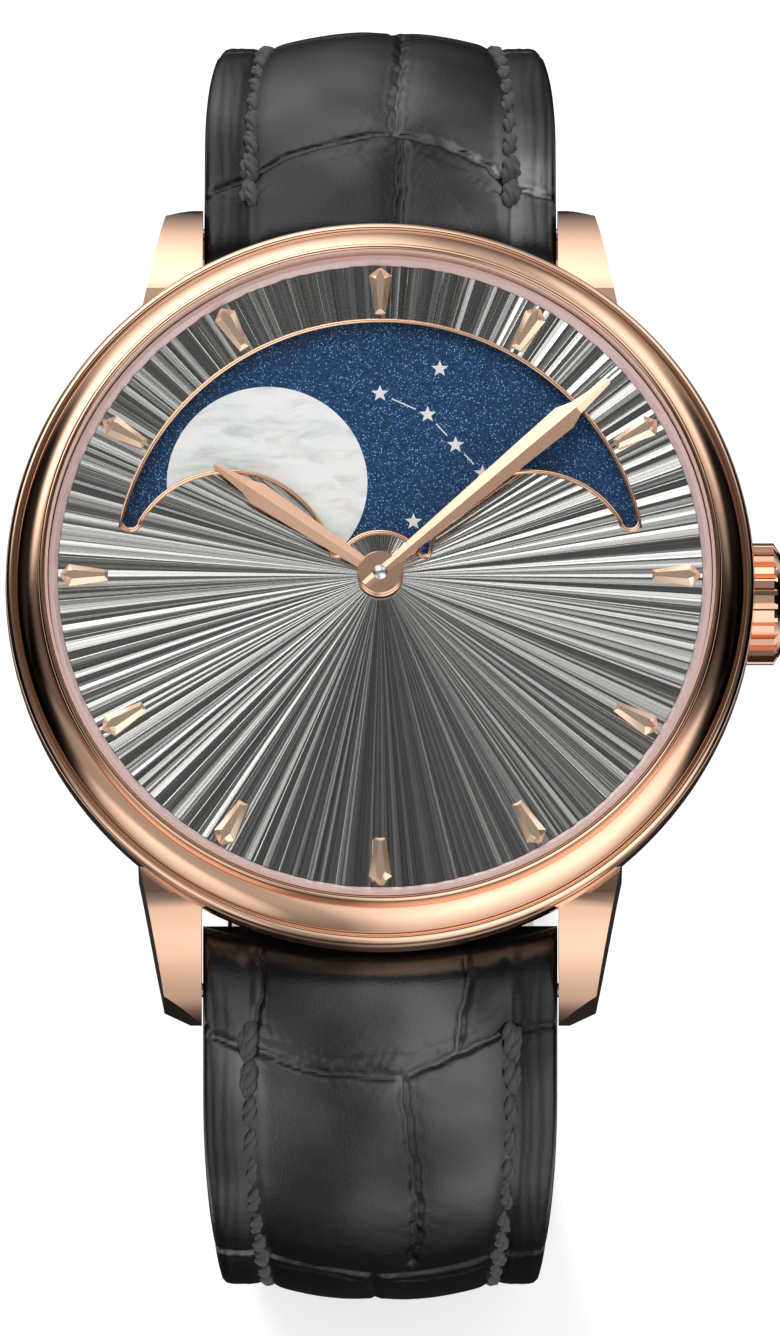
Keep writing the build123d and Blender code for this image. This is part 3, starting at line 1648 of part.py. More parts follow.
def cock(foot_at, head_at, foot_r, head_r, low_h, thickness, hole_r):
    """A cock: a foot on the main plate, a tapered arm and a head with a jewel hole."""
    reach = hypot(head_at[0] - foot_at[0], head_at[1] - foot_at[1])
    bearing = degrees(atan2(head_at[1] - foot_at[1], head_at[0] - foot_at[0]))
    with BuildPart() as result:
        with BuildSketch(layer(low_h)):
            with Locations(foot_at):
                Circle(foot_r)
            with Locations(head_at):
                Circle(head_r)
            with BuildLine():
                left, right = beside(foot_at, foot_r, bearing + 90), beside(foot_at, foot_r, bearing - 90)
                far_left, far_right = beside(head_at, head_r, bearing + 90), beside(head_at, head_r, bearing - 90)
                Polyline(left, right, far_right, far_left, close=True)
            make_face()
        extrude(amount=thickness)
        with BuildSketch(layer(low_h + thickness)):
            with Locations(foot_at):
                Circle(foot_r)
        extrude(amount=plate_low_h - low_h - thickness)
        with BuildSketch(layer(low_h)):
            with Locations(head_at):
                Circle(hole_r)
            with Locations(foot_at):
                Circle(screw_r + fit)
        extrude(amount=plate_low_h - low_h, mode=Mode.SUBTRACT)
    return drilled(result.part, low_h, low_h + screw_sink, [(foot_at, screw_head_r + fit)])


movement["balance_cock"] = cock(cock_foot_at, balance_at, cock_foot_r, cock_head_r, cock_low_h, cock_t, jewel_r)
movement["pallet_cock"] = cock(
    pallet_foot_at, fork_at, pallet_foot_r, pallet_foot_r, pallet_cock_h, pallet_cock_t, pallet_jewel_r
)

with BuildPart() as jewels:
    for place, low_h, outer_r, inner_r in (
        (third_at, bridge_low_h, jewel_r, pivot_r),
        (fourth_at, bridge_low_h, jewel_r, pivot_r),
        (escape_at, bridge_low_h, jewel_r, pivot_r),
        (centre_at, bridge_low_h, centre_jewel_r, centre_arbor_r),
        (balance_at, cock_low_h, jewel_r, staff_pivot_r),
        (fork_at, pallet_cock_h, pallet_jewel_r, pivot_r),
    ):
        with BuildSketch(layer(low_h + jewel_sink / 2)):
            with Locations(place):
                Circle(outer_r - fit / 2)
                Circle(inner_r + pivot_gap, mode=Mode.SUBTRACT)
        extrude(amount=jewel_t)
movement["jewels"] = jewels.part

with BuildPart() as bridge_screws:
    for place in barrel_pillars + train_pillars:
        add(screw(place, bridge_low_h + screw_sink))
    add(screw(cock_foot_at, cock_low_h + screw_sink))
    add(screw(pallet_foot_at, pallet_cock_h + screw_sink))
    add(screw(crown_wheel_at, keyless_h - fit, crown_screw_head_r, crown_screw_end_h))
    add(screw(click_at, keyless_h - fit, click_screw_head_r, bridge_low_h + bridge_t - fit))
movement["bridge_screws"] = bridge_screws.part
movement["ratchet_screw"] = screw(barrel_at, keyless_h, ratchet_screw_head_r, keyless_h + ratchet_screw_length)

click_tip_at = beside(click_at, click_length, click_bearing + click_turn)
with BuildPart() as click:
    with BuildSketch(layer(keyless_h)):
        with Locations(click_at):
            Circle(click_width)
        with BuildLine():
            left = beside(click_at, click_width, click_bearing + click_turn + 90)
            right = beside(click_at, click_width, click_bearing + click_turn - 90)
            Polyline(left, right, click_tip_at, close=True)
        make_face()
        with Locations(click_at):
            Circle(screw_r + pivot_gap, mode=Mode.SUBTRACT)
    extrude(amount=keyless_t)
movement["click"] = click.part

for node, piece in movement.items():
    piece.label = node
    export_step(piece, f"parts/{node}.step")

# Strap halves

buckle_y, buckle_h = short_route[-1][0], short_route[-1][1]

with BuildPart() as strap_12:
    loft(sections=strap_sections(1, short_route, []), ruled=True)
    add(rounded_end(strap_lug_width, strap_lug_t / 2, bar_reach, bar_h))
    add(rounded_end(strap_end_width, strap_end_t / 2, buckle_y, buckle_h))
    add(bar_hole(strap_lug_width, bar_r + strap_bore_gap, bar_reach, bar_h), mode=Mode.SUBTRACT)
    add(bar_hole(strap_end_width, buckle_bar_r + strap_bore_gap, buckle_y, buckle_h), mode=Mode.SUBTRACT)
    with BuildSketch(Plane.XZ.offset(-buckle_y - strap_end_t)):
        with Locations((0, level(buckle_h) + tongue_slot_depth)):
            Rectangle(
                tongue_width + 2 * tongue_slot_gap,
                2 * tongue_slot_depth + strap_end_t,
                align=(Align.CENTER, Align.MAX),
            )
    extrude(amount=2 * strap_end_t, mode=Mode.SUBTRACT)
strap_12.part.label = "strap_12"
export_step(strap_12.part, "parts/strap_12.step")

with BuildPart() as strap_6:
    loft(sections=strap_sections(-1, long_route, tail_tip_shares), ruled=True)
    add(rounded_end(strap_lug_width, strap_lug_t / 2, -bar_reach, bar_h))
    add(bar_hole(strap_lug_width, bar_r + strap_bore_gap, -bar_reach, bar_h), mode=Mode.SUBTRACT)
    for i in range(tongue_hole_count):
        y, h, heading, _ = station_at(long_route, long_length - tongue_hole_start - i * tongue_hole_pitch)
        outward = (0, -sin(radians(heading)), cos(radians(heading)))
        with BuildSketch(Plane(origin=(0, y, level(h)), x_dir=(1, 0, 0), z_dir=outward)):
            Circle(tongue_hole_r)
        extrude(amount=strap_end_t, both=True, mode=Mode.SUBTRACT)
strap_6.part.label = "strap_6"
export_step(strap_6.part, "parts/strap_6.step")

# Keepers round the short half's straight leg


def keeper(rise, travel):
    """A leather loop about the straight leg, its lower edge a rise above the buckle's bar."""
    highest = short_length - rise - keeper_width - travel
    half_width = strap_width(highest) / 2 + keeper_side_gap
    inner_y = buckle_y - strap_thickness(highest) / 2 - keeper_back_gap
    outer_y = buckle_y + strap_end_t / 2 + keeper_room
    with BuildPart() as loop:
        with BuildSketch(layer(buckle_h + rise)):
            with Locations((0, (inner_y + outer_y) / 2)):
                RectangleRounded(
                    2 * (half_width + keeper_t), outer_y - inner_y + 2 * keeper_t, keeper_round + keeper_t / 2
                )
                RectangleRounded(2 * half_width, outer_y - inner_y, keeper_round / 2, mode=Mode.SUBTRACT)
        extrude(amount=keeper_width)
    return loop.part


for node, rise, travel in (("sewn_keeper", sewn_keeper_rise, 0), ("loose_keeper", loose_keeper_rise, loose_keeper_travel)):
    loop = keeper(rise, travel)
    loop.label = node
    export_step(loop, f"parts/{node}.step")

# Pin buckle

buckle_half = strap_end_width / 2 + buckle_side_gap
with BuildPart() as buckle_frame:
    with BuildSketch(Plane.XZ.offset(-buckle_y - buckle_t / 2)) as buckle_outline:
        with Locations((0, level(buckle_h) + buckle_ear)):
            Rectangle(
                2 * (buckle_half + buckle_arm), buckle_ear + buckle_length, align=(Align.CENTER, Align.MAX)
            )
        with Locations((0, level(buckle_h) - buckle_length + buckle_bridge)):
            Rectangle(2 * buckle_half, 2 * buckle_length, align=(Align.CENTER, Align.MIN), mode=Mode.SUBTRACT)
        corners = buckle_outline.vertices().sort_by(Axis.Y)
        fillet(corners[:2], buckle_round)
        fillet(buckle_outline.vertices().sort_by(Axis.Y)[-4:], buckle_ear_round)
    extrude(amount=buckle_t)
    outer_faces = buckle_frame.faces().filter_by(Axis.Y)
    chamfer(outer_faces.edges(), buckle_edge)
    with BuildSketch(Plane.YZ):
        with Locations((buckle_y, level(buckle_h))):
            Circle(buckle_bar_r + fit)
    extrude(amount=buckle_half + bar_seat_depth, both=True, mode=Mode.SUBTRACT)
buckle_frame.part.label = "buckle_frame"
export_step(buckle_frame.part, "parts/buckle_frame.step")

buckle_bar = rounded_end(2 * (buckle_half + bar_seat_depth - fit), buckle_bar_r, buckle_y, buckle_h)
buckle_bar.label = "buckle_bar"
export_step(buckle_bar, "parts/buckle_bar.step")

with BuildPart() as buckle_tongue:
    bar_z = level(buckle_h)
    rest_y = buckle_y + buckle_t / 2 + tongue_gap
    end_z = bar_z - buckle_length
    with BuildSketch(Plane.YZ):
        with Locations((buckle_y, bar_z)):
            Circle(tongue_ring_r)
        with BuildLine():
            Polyline(
                (buckle_y, bar_z),
                (rest_y, end_z + buckle_bridge + tongue_t),
                (rest_y, end_z),
                (rest_y - tongue_gap, end_z - tongue_overhang),
                (rest_y + tongue_t / 2, end_z - tongue_overhang),
                (rest_y + tongue_t, end_z + tongue_t),
                (rest_y + tongue_t, end_z + buckle_bridge + tongue_t),
                (buckle_y + tongue_ring_r, bar_z),
                close=True,
            )
        make_face()
        with Locations((buckle_y, bar_z)):
            Circle(buckle_bar_r + strap_bore_gap, mode=Mode.SUBTRACT)
    extrude(amount=tongue_width / 2, both=True)
buckle_tongue.part.label = "buckle_tongue"
export_step(buckle_tongue.part, "parts/buckle_tongue.step")
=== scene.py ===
import math
import random

import bpy
import numpy as np
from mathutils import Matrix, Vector


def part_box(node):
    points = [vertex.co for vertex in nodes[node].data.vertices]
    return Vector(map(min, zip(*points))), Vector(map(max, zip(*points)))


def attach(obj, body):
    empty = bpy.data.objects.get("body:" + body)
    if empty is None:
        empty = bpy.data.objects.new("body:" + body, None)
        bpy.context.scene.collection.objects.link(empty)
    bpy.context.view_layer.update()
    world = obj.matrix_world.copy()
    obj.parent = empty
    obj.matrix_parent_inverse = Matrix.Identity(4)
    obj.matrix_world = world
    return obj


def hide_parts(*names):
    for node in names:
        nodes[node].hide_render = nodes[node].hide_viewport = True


# Moon phase wristwatch, dial up on its open strap loop.
# Lengths are written in millimetres and turned into metres by MM.

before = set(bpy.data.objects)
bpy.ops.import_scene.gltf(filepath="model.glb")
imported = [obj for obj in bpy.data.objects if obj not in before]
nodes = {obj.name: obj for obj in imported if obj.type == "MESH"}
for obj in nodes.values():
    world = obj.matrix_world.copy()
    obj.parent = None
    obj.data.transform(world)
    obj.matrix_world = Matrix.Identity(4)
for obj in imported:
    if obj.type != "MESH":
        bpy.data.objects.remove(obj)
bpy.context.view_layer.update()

MM = 0.001
back_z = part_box("case_back_ring")[0][2] / MM
dial_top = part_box("dial")[1][2] / MM

# Camera, from the photograph

PHOTO_WIDTH = 780
PHOTO_HEIGHT = 1336
PHOTO_PIXELS_PER_MM = 17.87
DIAL_CENTRE_PIXEL = (380.2, 574.9)
DIAL_SEEN_H = 9.6
CAMERA_TILT = math.radians(15.4)
CAMERA_DISTANCE = 1600.0
SENSOR_HEIGHT = 36.0


def make_camera():
    """Looks down at the dial from the 6 o'clock side, on the photograph's axis."""
    frame_height = PHOTO_HEIGHT / PHOTO_PIXELS_PER_MM
    right = (PHOTO_WIDTH / 2 - DIAL_CENTRE_PIXEL[0]) / PHOTO_PIXELS_PER_MM
    up = (DIAL_CENTRE_PIXEL[1] - PHOTO_HEIGHT / 2) / PHOTO_PIXELS_PER_MM
    towards = Vector((0, -math.sin(CAMERA_TILT), math.cos(CAMERA_TILT)))
    upwards = Vector((0, math.cos(CAMERA_TILT), math.sin(CAMERA_TILT)))
    target = Vector((right, 0, back_z + DIAL_SEEN_H)) + upwards * up
    data = bpy.data.cameras.new("camera")
    data.sensor_fit = "VERTICAL"
    data.sensor_height = SENSOR_HEIGHT
    data.lens = SENSOR_HEIGHT * CAMERA_DISTANCE / frame_height
    data.clip_start = 0.01
    data.clip_end = 20.0
    data.dof.use_dof = False
    camera = bpy.data.objects.new("camera", data)
    camera.location = (target + towards * CAMERA_DISTANCE) * MM
    camera.rotation_euler = (CAMERA_TILT, 0, 0)
    bpy.context.collection.objects.link(camera)
    bpy.context.scene.camera = camera


# Meshes


def add_mesh(name, points, faces, *materials, smooth=True):
    """A mesh object from points in millimetres."""
    mesh = bpy.data.meshes.new(name)
    mesh.from_pydata([tuple(c * MM for c in p) for p in points], [], faces)
    mesh.validate()
    if smooth:
        mesh.shade_smooth()
    for material in materials:
        mesh.materials.append(material)
    piece = bpy.data.objects.new(name, mesh)
    bpy.context.collection.objects.link(piece)
    return piece


def around(radius, turn):
    return radius * math.cos(turn), radius * math.sin(turn)


def add_ring(points, rings, places):
    """Adds places to the points, and their indices to the rings."""
    rings.append(list(range(len(points), len(points) + len(places))))
    points.extend(places)


def join_rings(rings):
    """Faces between closed rings of equal length, given as lists of point indices."""
    faces = []
    for a, b in zip(rings, rings[1:]):
        count = len(a)
        for i in range(count):
            j = (i + 1) % count
            faces.append((a[i], a[j], b[j], b[i]))
    return faces


def turned_over(faces):
    return [tuple(reversed(face)) for face in faces]


def turned(name, profile, steps, material):
    """A closed ring about the case axis from (radius, height) points; heights start at the case back."""
    points, rings = [], []
    for k in range(steps):
        turn = 2 * math.pi * k / steps
        add_ring(points, rings, [(*around(r, turn), back_z + h) for r, h in profile])
    piece = add_mesh(name, points, turned_over(join_rings(rings + [rings[0]])), material)
    piece.data.set_sharp_from_angle(angle=math.radians(32))
    return piece


# Materials


class Shader:
    """A material's node tree, with short calls for the nodes used here. Its space is millimetres."""

    def __init__(self, name):
        self.material = bpy.data.materials.new(name)
        self.material.use_nodes = True
        self.tree = self.material.node_tree
        self.tree.nodes.clear()
        self.output = self.tree.nodes.new("ShaderNodeOutputMaterial")
        place = self.tree.nodes.new("ShaderNodeTexCoord")
        self.mm = self.vector_math("SCALE", place.outputs["Object"], scale=1 / MM)

    def node(self, kind, settings=None, **inputs):
        made = self.tree.nodes.new("ShaderNode" + kind)
        for key, value in (settings or {}).items():
            setattr(made, key, value)
        for key, value in inputs.items():
            self.put(made.inputs[key.replace("_", " ")], value)
        return made

    def put(self, socket, value):
        if isinstance(value, bpy.types.NodeSocket):
            self.tree.links.new(value, socket)
        elif isinstance(value, (tuple, list)) and len(value) == 3 and socket.type == "RGBA":
            socket.default_value = (*value, 1)
        else:
            socket.default_value = value

    def math(self, operation, a, b=0.0):
        made = self.node("Math", {"operation": operation})
        self.put(made.inputs[0], a)
        self.put(made.inputs[1], b)
        return made.outputs[0]

    def line(self, value, slope, start):
        return self.math("ADD", self.math("MULTIPLY", value, slope), start)

    def vector_math(self, operation, a, b=None, scale=None):
        made = self.node("VectorMath", {"operation": operation})
        self.put(made.inputs[0], a)
        if b is not None:
            self.put(made.inputs[1], b)
        if scale is not None:
            self.put(made.inputs["Scale"], scale)
        return made.outputs[0]

    def noise(self, scale, detail=3.0, roughness=0.5, vector=None, distortion=0.0):
        made = self.node("TexNoise", Scale=scale, Detail=detail, Roughness=roughness, Distortion=distortion)
        self.put(made.inputs["Vector"], self.mm if vector is None else vector)
        return made.outputs["Fac"]

    def voronoi(self, scale, output="Distance", feature="F1", randomness=1.0):
        made = self.node("TexVoronoi", {"feature": feature}, Scale=scale, Randomness=randomness)
        self.put(made.inputs["Vector"], self.mm)
        return made.outputs[output]

    def stretched(self, x, y, z):
        return self.vector_math("MULTIPLY", self.mm, (x, y, z))

    def ramp(self, factor, *stops):
        made = self.node("ValToRGB")
        elements = made.color_ramp.elements
        while len(elements) < len(stops):
            elements.new(0.5)
        for element, (position, color) in zip(elements, stops):
            element.position = position
            element.color = (*color, 1) if isinstance(color, tuple) else (color, color, color, 1)
        self.put(made.inputs["Fac"], factor)
        return made.outputs["Color"]

    def mix(self, factor, a, b):
        made = self.node("Mix", {"data_type": "RGBA"})
        self.put(made.inputs[0], factor)
        self.put(made.inputs[6], a)
        self.put(made.inputs[7], b)
        return made.outputs[2]

    def bump(self, height, strength, distance_mm):
        made = self.node("Bump", Strength=strength, Distance=distance_mm * MM, Height=height)
        return made.outputs["Normal"]

    def surface(self, **inputs):
        """A Principled surface, straight to the output."""
        made = self.node("BsdfPrincipled", **inputs)
        self.tree.links.new(made.outputs["BSDF"], self.output.inputs["Surface"])
        return made


def polished_gold(name, color, base_roughness, metallic=1.0):
    """Gold with faint cloudiness and hairline scratches; less metallic where it is satin."""
    s = Shader(name)
    cloud = s.noise(0.35, 2)
    scratches = s.noise(3.0, 4, vector=s.stretched(1, 6, 1))
    tint = s.mix(cloud, tuple(c * 0.97 for c in color), tuple(min(1.0, c * 1.03) for c in color))
    roughness = s.line(scratches, 0.05, base_roughness)
    normal = s.bump(scratches, 0.06, 0.004)
    s.surface(Base_Color=tint, Metallic=metallic, Roughness=roughness, Normal=normal)
    return s.material


def brushed_steel(name, color, grain=(1, 14, 1)):
    """Fine brushed or grained steel."""
    s = Shader(name)
    lines = s.noise(5.0, 4, vector=s.stretched(*grain))
    tint = s.mix(lines, tuple(c * 0.9 for c in color), tuple(min(1.0, c * 1.08) for c in color))
    roughness = s.line(lines, 0.18, 0.2)
    s.surface(Base_Color=tint, Metallic=1.0, Roughness=roughness, Normal=s.bump(lines, 0.12, 0.01))
    return s.material


STRIPE_PITCH = 2.6


def striped_nickel():
    """Rhodium plated bridges with broad parallel stripes."""
    s = Shader("striped_bridge")
    across = s.node("SeparateXYZ", Vector=s.mm)
    slant = s.math("ADD", across.outputs["X"], across.outputs["Y"])
    phase = s.math("FRACT", s.math("DIVIDE", slant, STRIPE_PITCH))
    swing = s.math("ABSOLUTE", s.line(phase, 2.0, -1.0))
    curve = s.math("POWER", swing, 2.0)
    hair = s.noise(9.0, 3, vector=s.stretched(1, 1, 1))
    tint = s.mix(curve, (0.66, 0.64, 0.60), (0.80, 0.78, 0.74))
    height = s.math("ADD", curve, s.math("MULTIPLY", hair, 0.12))
    roughness = s.line(phase, 0.12, 0.2)
    s.surface(Base_Color=tint, Metallic=1.0, Roughness=roughness, Normal=s.bump(height, 0.35, 0.05))
    return s.material


def pearled_nickel():
    """Main plate with overlapping round graining."""
    s = Shader("pearled_plate")
    spots = s.voronoi(0.9, randomness=0.15)
    rings = s.math("FRACT", s.math("MULTIPLY", spots, 9.0))
    tint = s.mix(rings, (0.58, 0.56, 0.52), (0.74, 0.72, 0.67))
    s.surface(Base_Color=tint, Metallic=1.0, Roughness=0.32, Normal=s.bump(rings, 0.2, 0.02))
    return s.material


def wheel_brass():
    s = Shader("wheel_brass")
    lines = s.noise(6.0, 3, vector=s.stretched(3, 1, 1))
    tint = s.mix(lines, (0.70, 0.52, 0.24), (0.86, 0.68, 0.36))
    s.surface(Base_Color=tint, Metallic=1.0, Roughness=0.26, Normal=s.bump(lines, 0.1, 0.01))
    return s.material


def grained(name, scale, detail, dark, light, bump=0.0, **inputs):
    """A plain finish whose colour has a slight grain."""
    s = Shader(name)
    grain = s.noise(scale, detail)
    if bump:
        inputs["Normal"] = s.bump(grain, bump, 0.02)
    s.surface(Base_Color=s.mix(grain, dark, light), **inputs)
    return s.material


def sapphire():
    """Clear crystal that lets the lamps reach the dial."""
    s = Shader("sapphire")
    haze = s.noise(0.2, 1)
    tint = s.mix(haze, (0.985, 0.99, 1.0), (1.0, 1.0, 1.0))
    glass = s.node("BsdfPrincipled", Base_Color=tint, Roughness=0.0, IOR=1.08, Transmission_Weight=1.0)
    clear = s.node("BsdfTransparent", Color=(0.97, 0.975, 0.98))
    rays = s.node("LightPath")
    lamp = s.math("MAXIMUM", rays.outputs["Is Shadow Ray"], rays.outputs["Is Diffuse Ray"])
    lamp = s.math("MAXIMUM", lamp, rays.outputs["Is Glossy Ray"])
    both = s.node("MixShader")
    s.put(both.inputs[0], lamp)
    s.tree.links.new(glass.outputs["BSDF"], both.inputs[1])
    s.tree.links.new(clear.outputs["BSDF"], both.inputs[2])
    s.tree.links.new(both.outputs["Shader"], s.output.inputs["Surface"])
    return s.material


def dial_metal():
    """Grey plated dial, with fine tool marks that run out from the centre."""
    s = Shader("dial_metal")
    place = s.node("SeparateXYZ", Vector=s.mm)
    bearing = s.math("ARCTAN2", place.outputs["Y"], place.outputs["X"])
    rays = s.node("CombineXYZ", X=s.math("MULTIPLY", bearing, 90.0))
    streak = s.noise(1.0, 3, 0.6, vector=rays.outputs["Vector"])
    fine = s.node("CombineXYZ", X=s.math("MULTIPLY", bearing, 420.0))
    hair = s.noise(1.0, 2, 0.5, vector=fine.outputs["Vector"])
    tint = s.ramp(streak, (0.25, (0.32, 0.31, 0.29)), (0.5, (0.56, 0.545, 0.52)), (0.78, (0.85, 0.83, 0.8)))
    s.surface(
        Base_Color=tint, Metallic=1.0, Roughness=s.line(hair, 0.1, 0.1),
        Normal=s.bump(hair, 0.06, 0.01),
    )
    return s.material


FLECKS_PER_MM = 11.0


def aventurine():
    """Deep blue glass full of bright flecks."""
    s = Shader("aventurine")
    chance = s.node("SeparateColor", Color=s.voronoi(FLECKS_PER_MM, "Color"))
    size = s.voronoi(FLECKS_PER_MM)
    bright = s.math("GREATER_THAN", chance.outputs[0], 0.72)
    dot = s.math("MULTIPLY", bright, s.math("LESS_THAN", size, 0.36))
    grain = s.noise(7.0, 3, 0.8)
    body = s.ramp(
        grain, (0.32, (0.0005, 0.005, 0.02)), (0.5, (0.002, 0.032, 0.105)), (0.68, (0.007, 0.12, 0.34)),
    )
    fleck = s.mix(chance.outputs[1], (0.05, 0.27, 0.6), (0.35, 0.72, 1.0))
    tint = s.mix(dot, body, fleck)
    s.surface(
        Base_Color=tint, Metallic=0.1, Roughness=0.42, Coat_Weight=0.1, Coat_Roughness=0.12,
        Normal=s.bump(chance.outputs[2], 0.25, 0.02),
    )
    return s.material


def mother_of_pearl():
    """Whitish shell with soft green and pink clouds and fine growth lines."""
    s = Shader("mother_of_pearl")
    cloud = s.noise(0.62, 5, 0.62, vector=s.stretched(0.55, 1.7, 1), distortion=0.5)
    tone = s.noise(0.28, 3, 0.5, distortion=0.5)
    lines = s.noise(1.6, 4, 0.6, vector=s.stretched(0.35, 2.6, 1), distortion=0.6)
    pale = s.ramp(
        cloud, (0.28, (0.6, 0.63, 0.62)), (0.4, (0.82, 0.84, 0.82)), (0.5, (0.97, 0.97, 0.95)),
        (0.7, (1.0, 1.0, 1.0)),
    )
    hue = s.ramp(tone, (0.35, (0.84, 0.95, 0.9)), (0.5, (0.98, 0.98, 0.97)), (0.66, (1.0, 0.94, 0.91)))
    blend = s.node("Mix", {"data_type": "RGBA", "blend_type": "MULTIPLY"})
    s.put(blend.inputs[0], 0.9)
    s.put(blend.inputs[6], pale)
    s.put(blend.inputs[7], hue)
    tint = s.mix(s.math("MULTIPLY", lines, 0.25), blend.outputs[2], (1.0, 1.0, 0.98))
    s.surface(
        Base_Color=tint, Roughness=0.32, Coat_Weight=0.5, Coat_Roughness=0.1,
        Normal=s.bump(lines, 0.15, 0.03),
    )
    return s.material


def leather(name, dark, light, grain=1.0, gloss=0.42):
    """Semi-gloss leather: pores, fine creases, and patches that are rubbed shinier or duller."""
    s = Shader(name)
    pores = s.voronoi(3.4 * grain, feature="DISTANCE_TO_EDGE")
    cells = s.ramp(pores, (0.0, 0.0), (0.12, 0.7), (0.3, 1.0))
    wrinkles = s.noise(1.7 * grain, 5, 0.62, distortion=0.5)
    fine = s.noise(9.0 * grain, 3, 0.6)
    wear = s.noise(0.16, 3, 0.5)
    tint = s.mix(s.math("MULTIPLY", wear, wrinkles), dark, light)
    height = s.line(wrinkles, 0.7, s.math("MULTIPLY", cells, 0.22))
    height = s.math("ADD", height, s.math("MULTIPLY", fine, 0.16))
    roughness = s.line(wrinkles, 0.16, gloss - 0.08)
    rubbed = s.ramp(s.noise(0.11, 2, 0.4), (0.36, 0.3), (0.5, 0.7), (0.64, 1.4))
    s.surface(
        Base_Color=tint, Roughness=roughness, Specular_IOR_Level=rubbed,
        Normal=s.bump(height, 0.26, 0.05),
    )
    return s.material


def waxed_thread():
    s = Shader("waxed_thread")
    fibres = s.noise(7.0, 4, vector=s.stretched(1, 3, 1))
    tint = s.mix(fibres, (0.018, 0.018, 0.02), (0.07, 0.072, 0.075))
    s.surface(Base_Color=tint, Roughness=0.5, Sheen_Weight=0.2, Normal=s.bump(fibres, 0.5, 0.04))
    return s.material


def paint(node_names, material):
    for name in node_names:
        slots = nodes[name].data.materials
        slots.clear()
        slots.append(material)


def finish_of(node_name):
    return nodes[node_name].data.materials[0]


ROSE_GOLD = (0.86, 0.545, 0.385)
PALE_GOLD = (1.0, 0.71, 0.52)
HAND_GOLD = (0.97, 0.59, 0.41)
FRAME_GOLD = (0.9, 0.55, 0.36)
FLANGE_GOLD = (0.92, 0.68, 0.65)
BRIGHT_STEEL = (0.72, 0.72, 0.73)
SPRING_STEEL = (0.55, 0.55, 0.56)
WHEEL_STEEL = (0.66, 0.66, 0.67)
ESCAPEMENT_STEEL = (0.6, 0.6, 0.62)
BLUED_STEEL = (0.06, 0.11, 0.36)


def paint_nodes():
    """Gives each carried-over node its finish."""
    rose = polished_gold("rose_gold", ROSE_GOLD, 0.07)
    paint(["case_middle", "bezel", "case_back_ring", "crown", "crown_tube"], rose)
    paint(["buckle_frame", "buckle_bar", "buckle_tongue"], rose)
    paint(["hour_markers"], polished_gold("pale_gold", PALE_GOLD, 0.2, metallic=0.8))
    paint(["hour_hand", "minute_hand"], polished_gold("hand_gold", HAND_GOLD, 0.2, metallic=0.85))
    paint(["window_frame"], polished_gold("frame_gold", FRAME_GOLD, 0.16))
    paint(["flange_ring"], polished_gold("flange_gold", FLANGE_GOLD, 0.35, metallic=0.3))
    bright_steel = brushed_steel("bright_steel", BRIGHT_STEEL)
    paint(["hand_pin", "cannon_pinion", "barrel_arbor", "winding_stem"], bright_steel)
    paint(["spring_bar_12", "spring_bar_6", "mainspring"], brushed_steel("spring_steel", SPRING_STEEL))
    wheel_steel = brushed_steel("wheel_steel", WHEEL_STEEL, (8, 1, 1))
    paint(["ratchet_wheel", "crown_wheel", "click", "sliding_pinion", "winding_pinion"], wheel_steel)
    paint(["escape_wheel", "pallet_fork"], brushed_steel("escapement_steel", ESCAPEMENT_STEEL))
    paint(["bridge_screws", "ratchet_screw", "hairspring"], brushed_steel("blued_steel", BLUED_STEEL))
    paint(["barrel_bridge", "train_bridge", "balance_cock", "pallet_cock"], striped_nickel())
    paint(["main_plate", "movement_ring"], pearled_nickel())
    brass = wheel_brass()
    paint(["barrel", "centre_wheel", "third_wheel", "fourth_wheel", "balance_wheel"], brass)
    paint(["minute_wheel", "hour_wheel", "moon_wheel_1", "moon_wheel_2", "moon_ring_gear"], brass)
    red, light_red = (0.42, 0.01, 0.06), (0.72, 0.04, 0.14)
    paint(["jewels"], grained("ruby", 4.0, 2, red, light_red, Roughness=0.08, Coat_Weight=0.6))
    # Pale press-fit ring round the crystal. Its rose colour is a painted reflection of the gold round it.
    rose, pale_rose = (0.72, 0.47, 0.38), (0.8, 0.55, 0.46)
    gasket_gold_reflection = grained("gasket_painted_gold_reflection", 0.8, 2, rose, pale_rose, Roughness=0.3, Metallic=0.3)
    paint(["crystal_gasket"], gasket_gold_reflection)
    black, grey_black = (0.02, 0.02, 0.022), (0.04, 0.04, 0.042)
    rubber = grained("gasket_rubber", 8.0, 3, black, grey_black, bump=0.2, Roughness=0.7)
    paint(["case_back_gasket", "crown_seal"], rubber)
    paint(["crystal", "case_back_crystal"], sapphire())
    paint(["dial"], dial_metal())
    paint(["moon_disc"], aventurine())
    paint(["moons"], mother_of_pearl())
    grey, white = (0.78, 0.79, 0.78), (0.9, 0.9, 0.89)
    paint(["stars"], grained("star_enamel", 12.0, 2, grey, white, Roughness=0.35))


# Bezel: a fine bead, a broad rounded band and a narrow raised inner ridge, as (radius, height) points

BEZEL_BAND_OUTER = (20.43, 8.36)
BEZEL_BAND_INNER = (19.27, 9.42)
BEZEL_BAND_RISE = 0.16
BEZEL_BAND_STEPS = 14
BEZEL_SKIRT = [(20.96, 7.8), (20.99, 7.95), (20.94, 8.14), (20.84, 8.27)]
BEZEL_BEAD = [(20.74, 8.335), (20.64, 8.36), (20.54, 8.335), (20.49, 8.285), (20.46, 8.275)]
BEZEL_RIDGE = [
    (19.245, 9.4), (19.225, 9.41), (19.2, 9.6), (19.14, 10.15), (19.1, 10.33), (19.03, 10.42),
    (18.95, 10.45),
]
BEZEL_LIP = [(18.87, 10.44), (18.81, 10.38), (18.8, 10.3), (18.8, 8.86), (19.33, 8.86), (19.33, 7.8)]


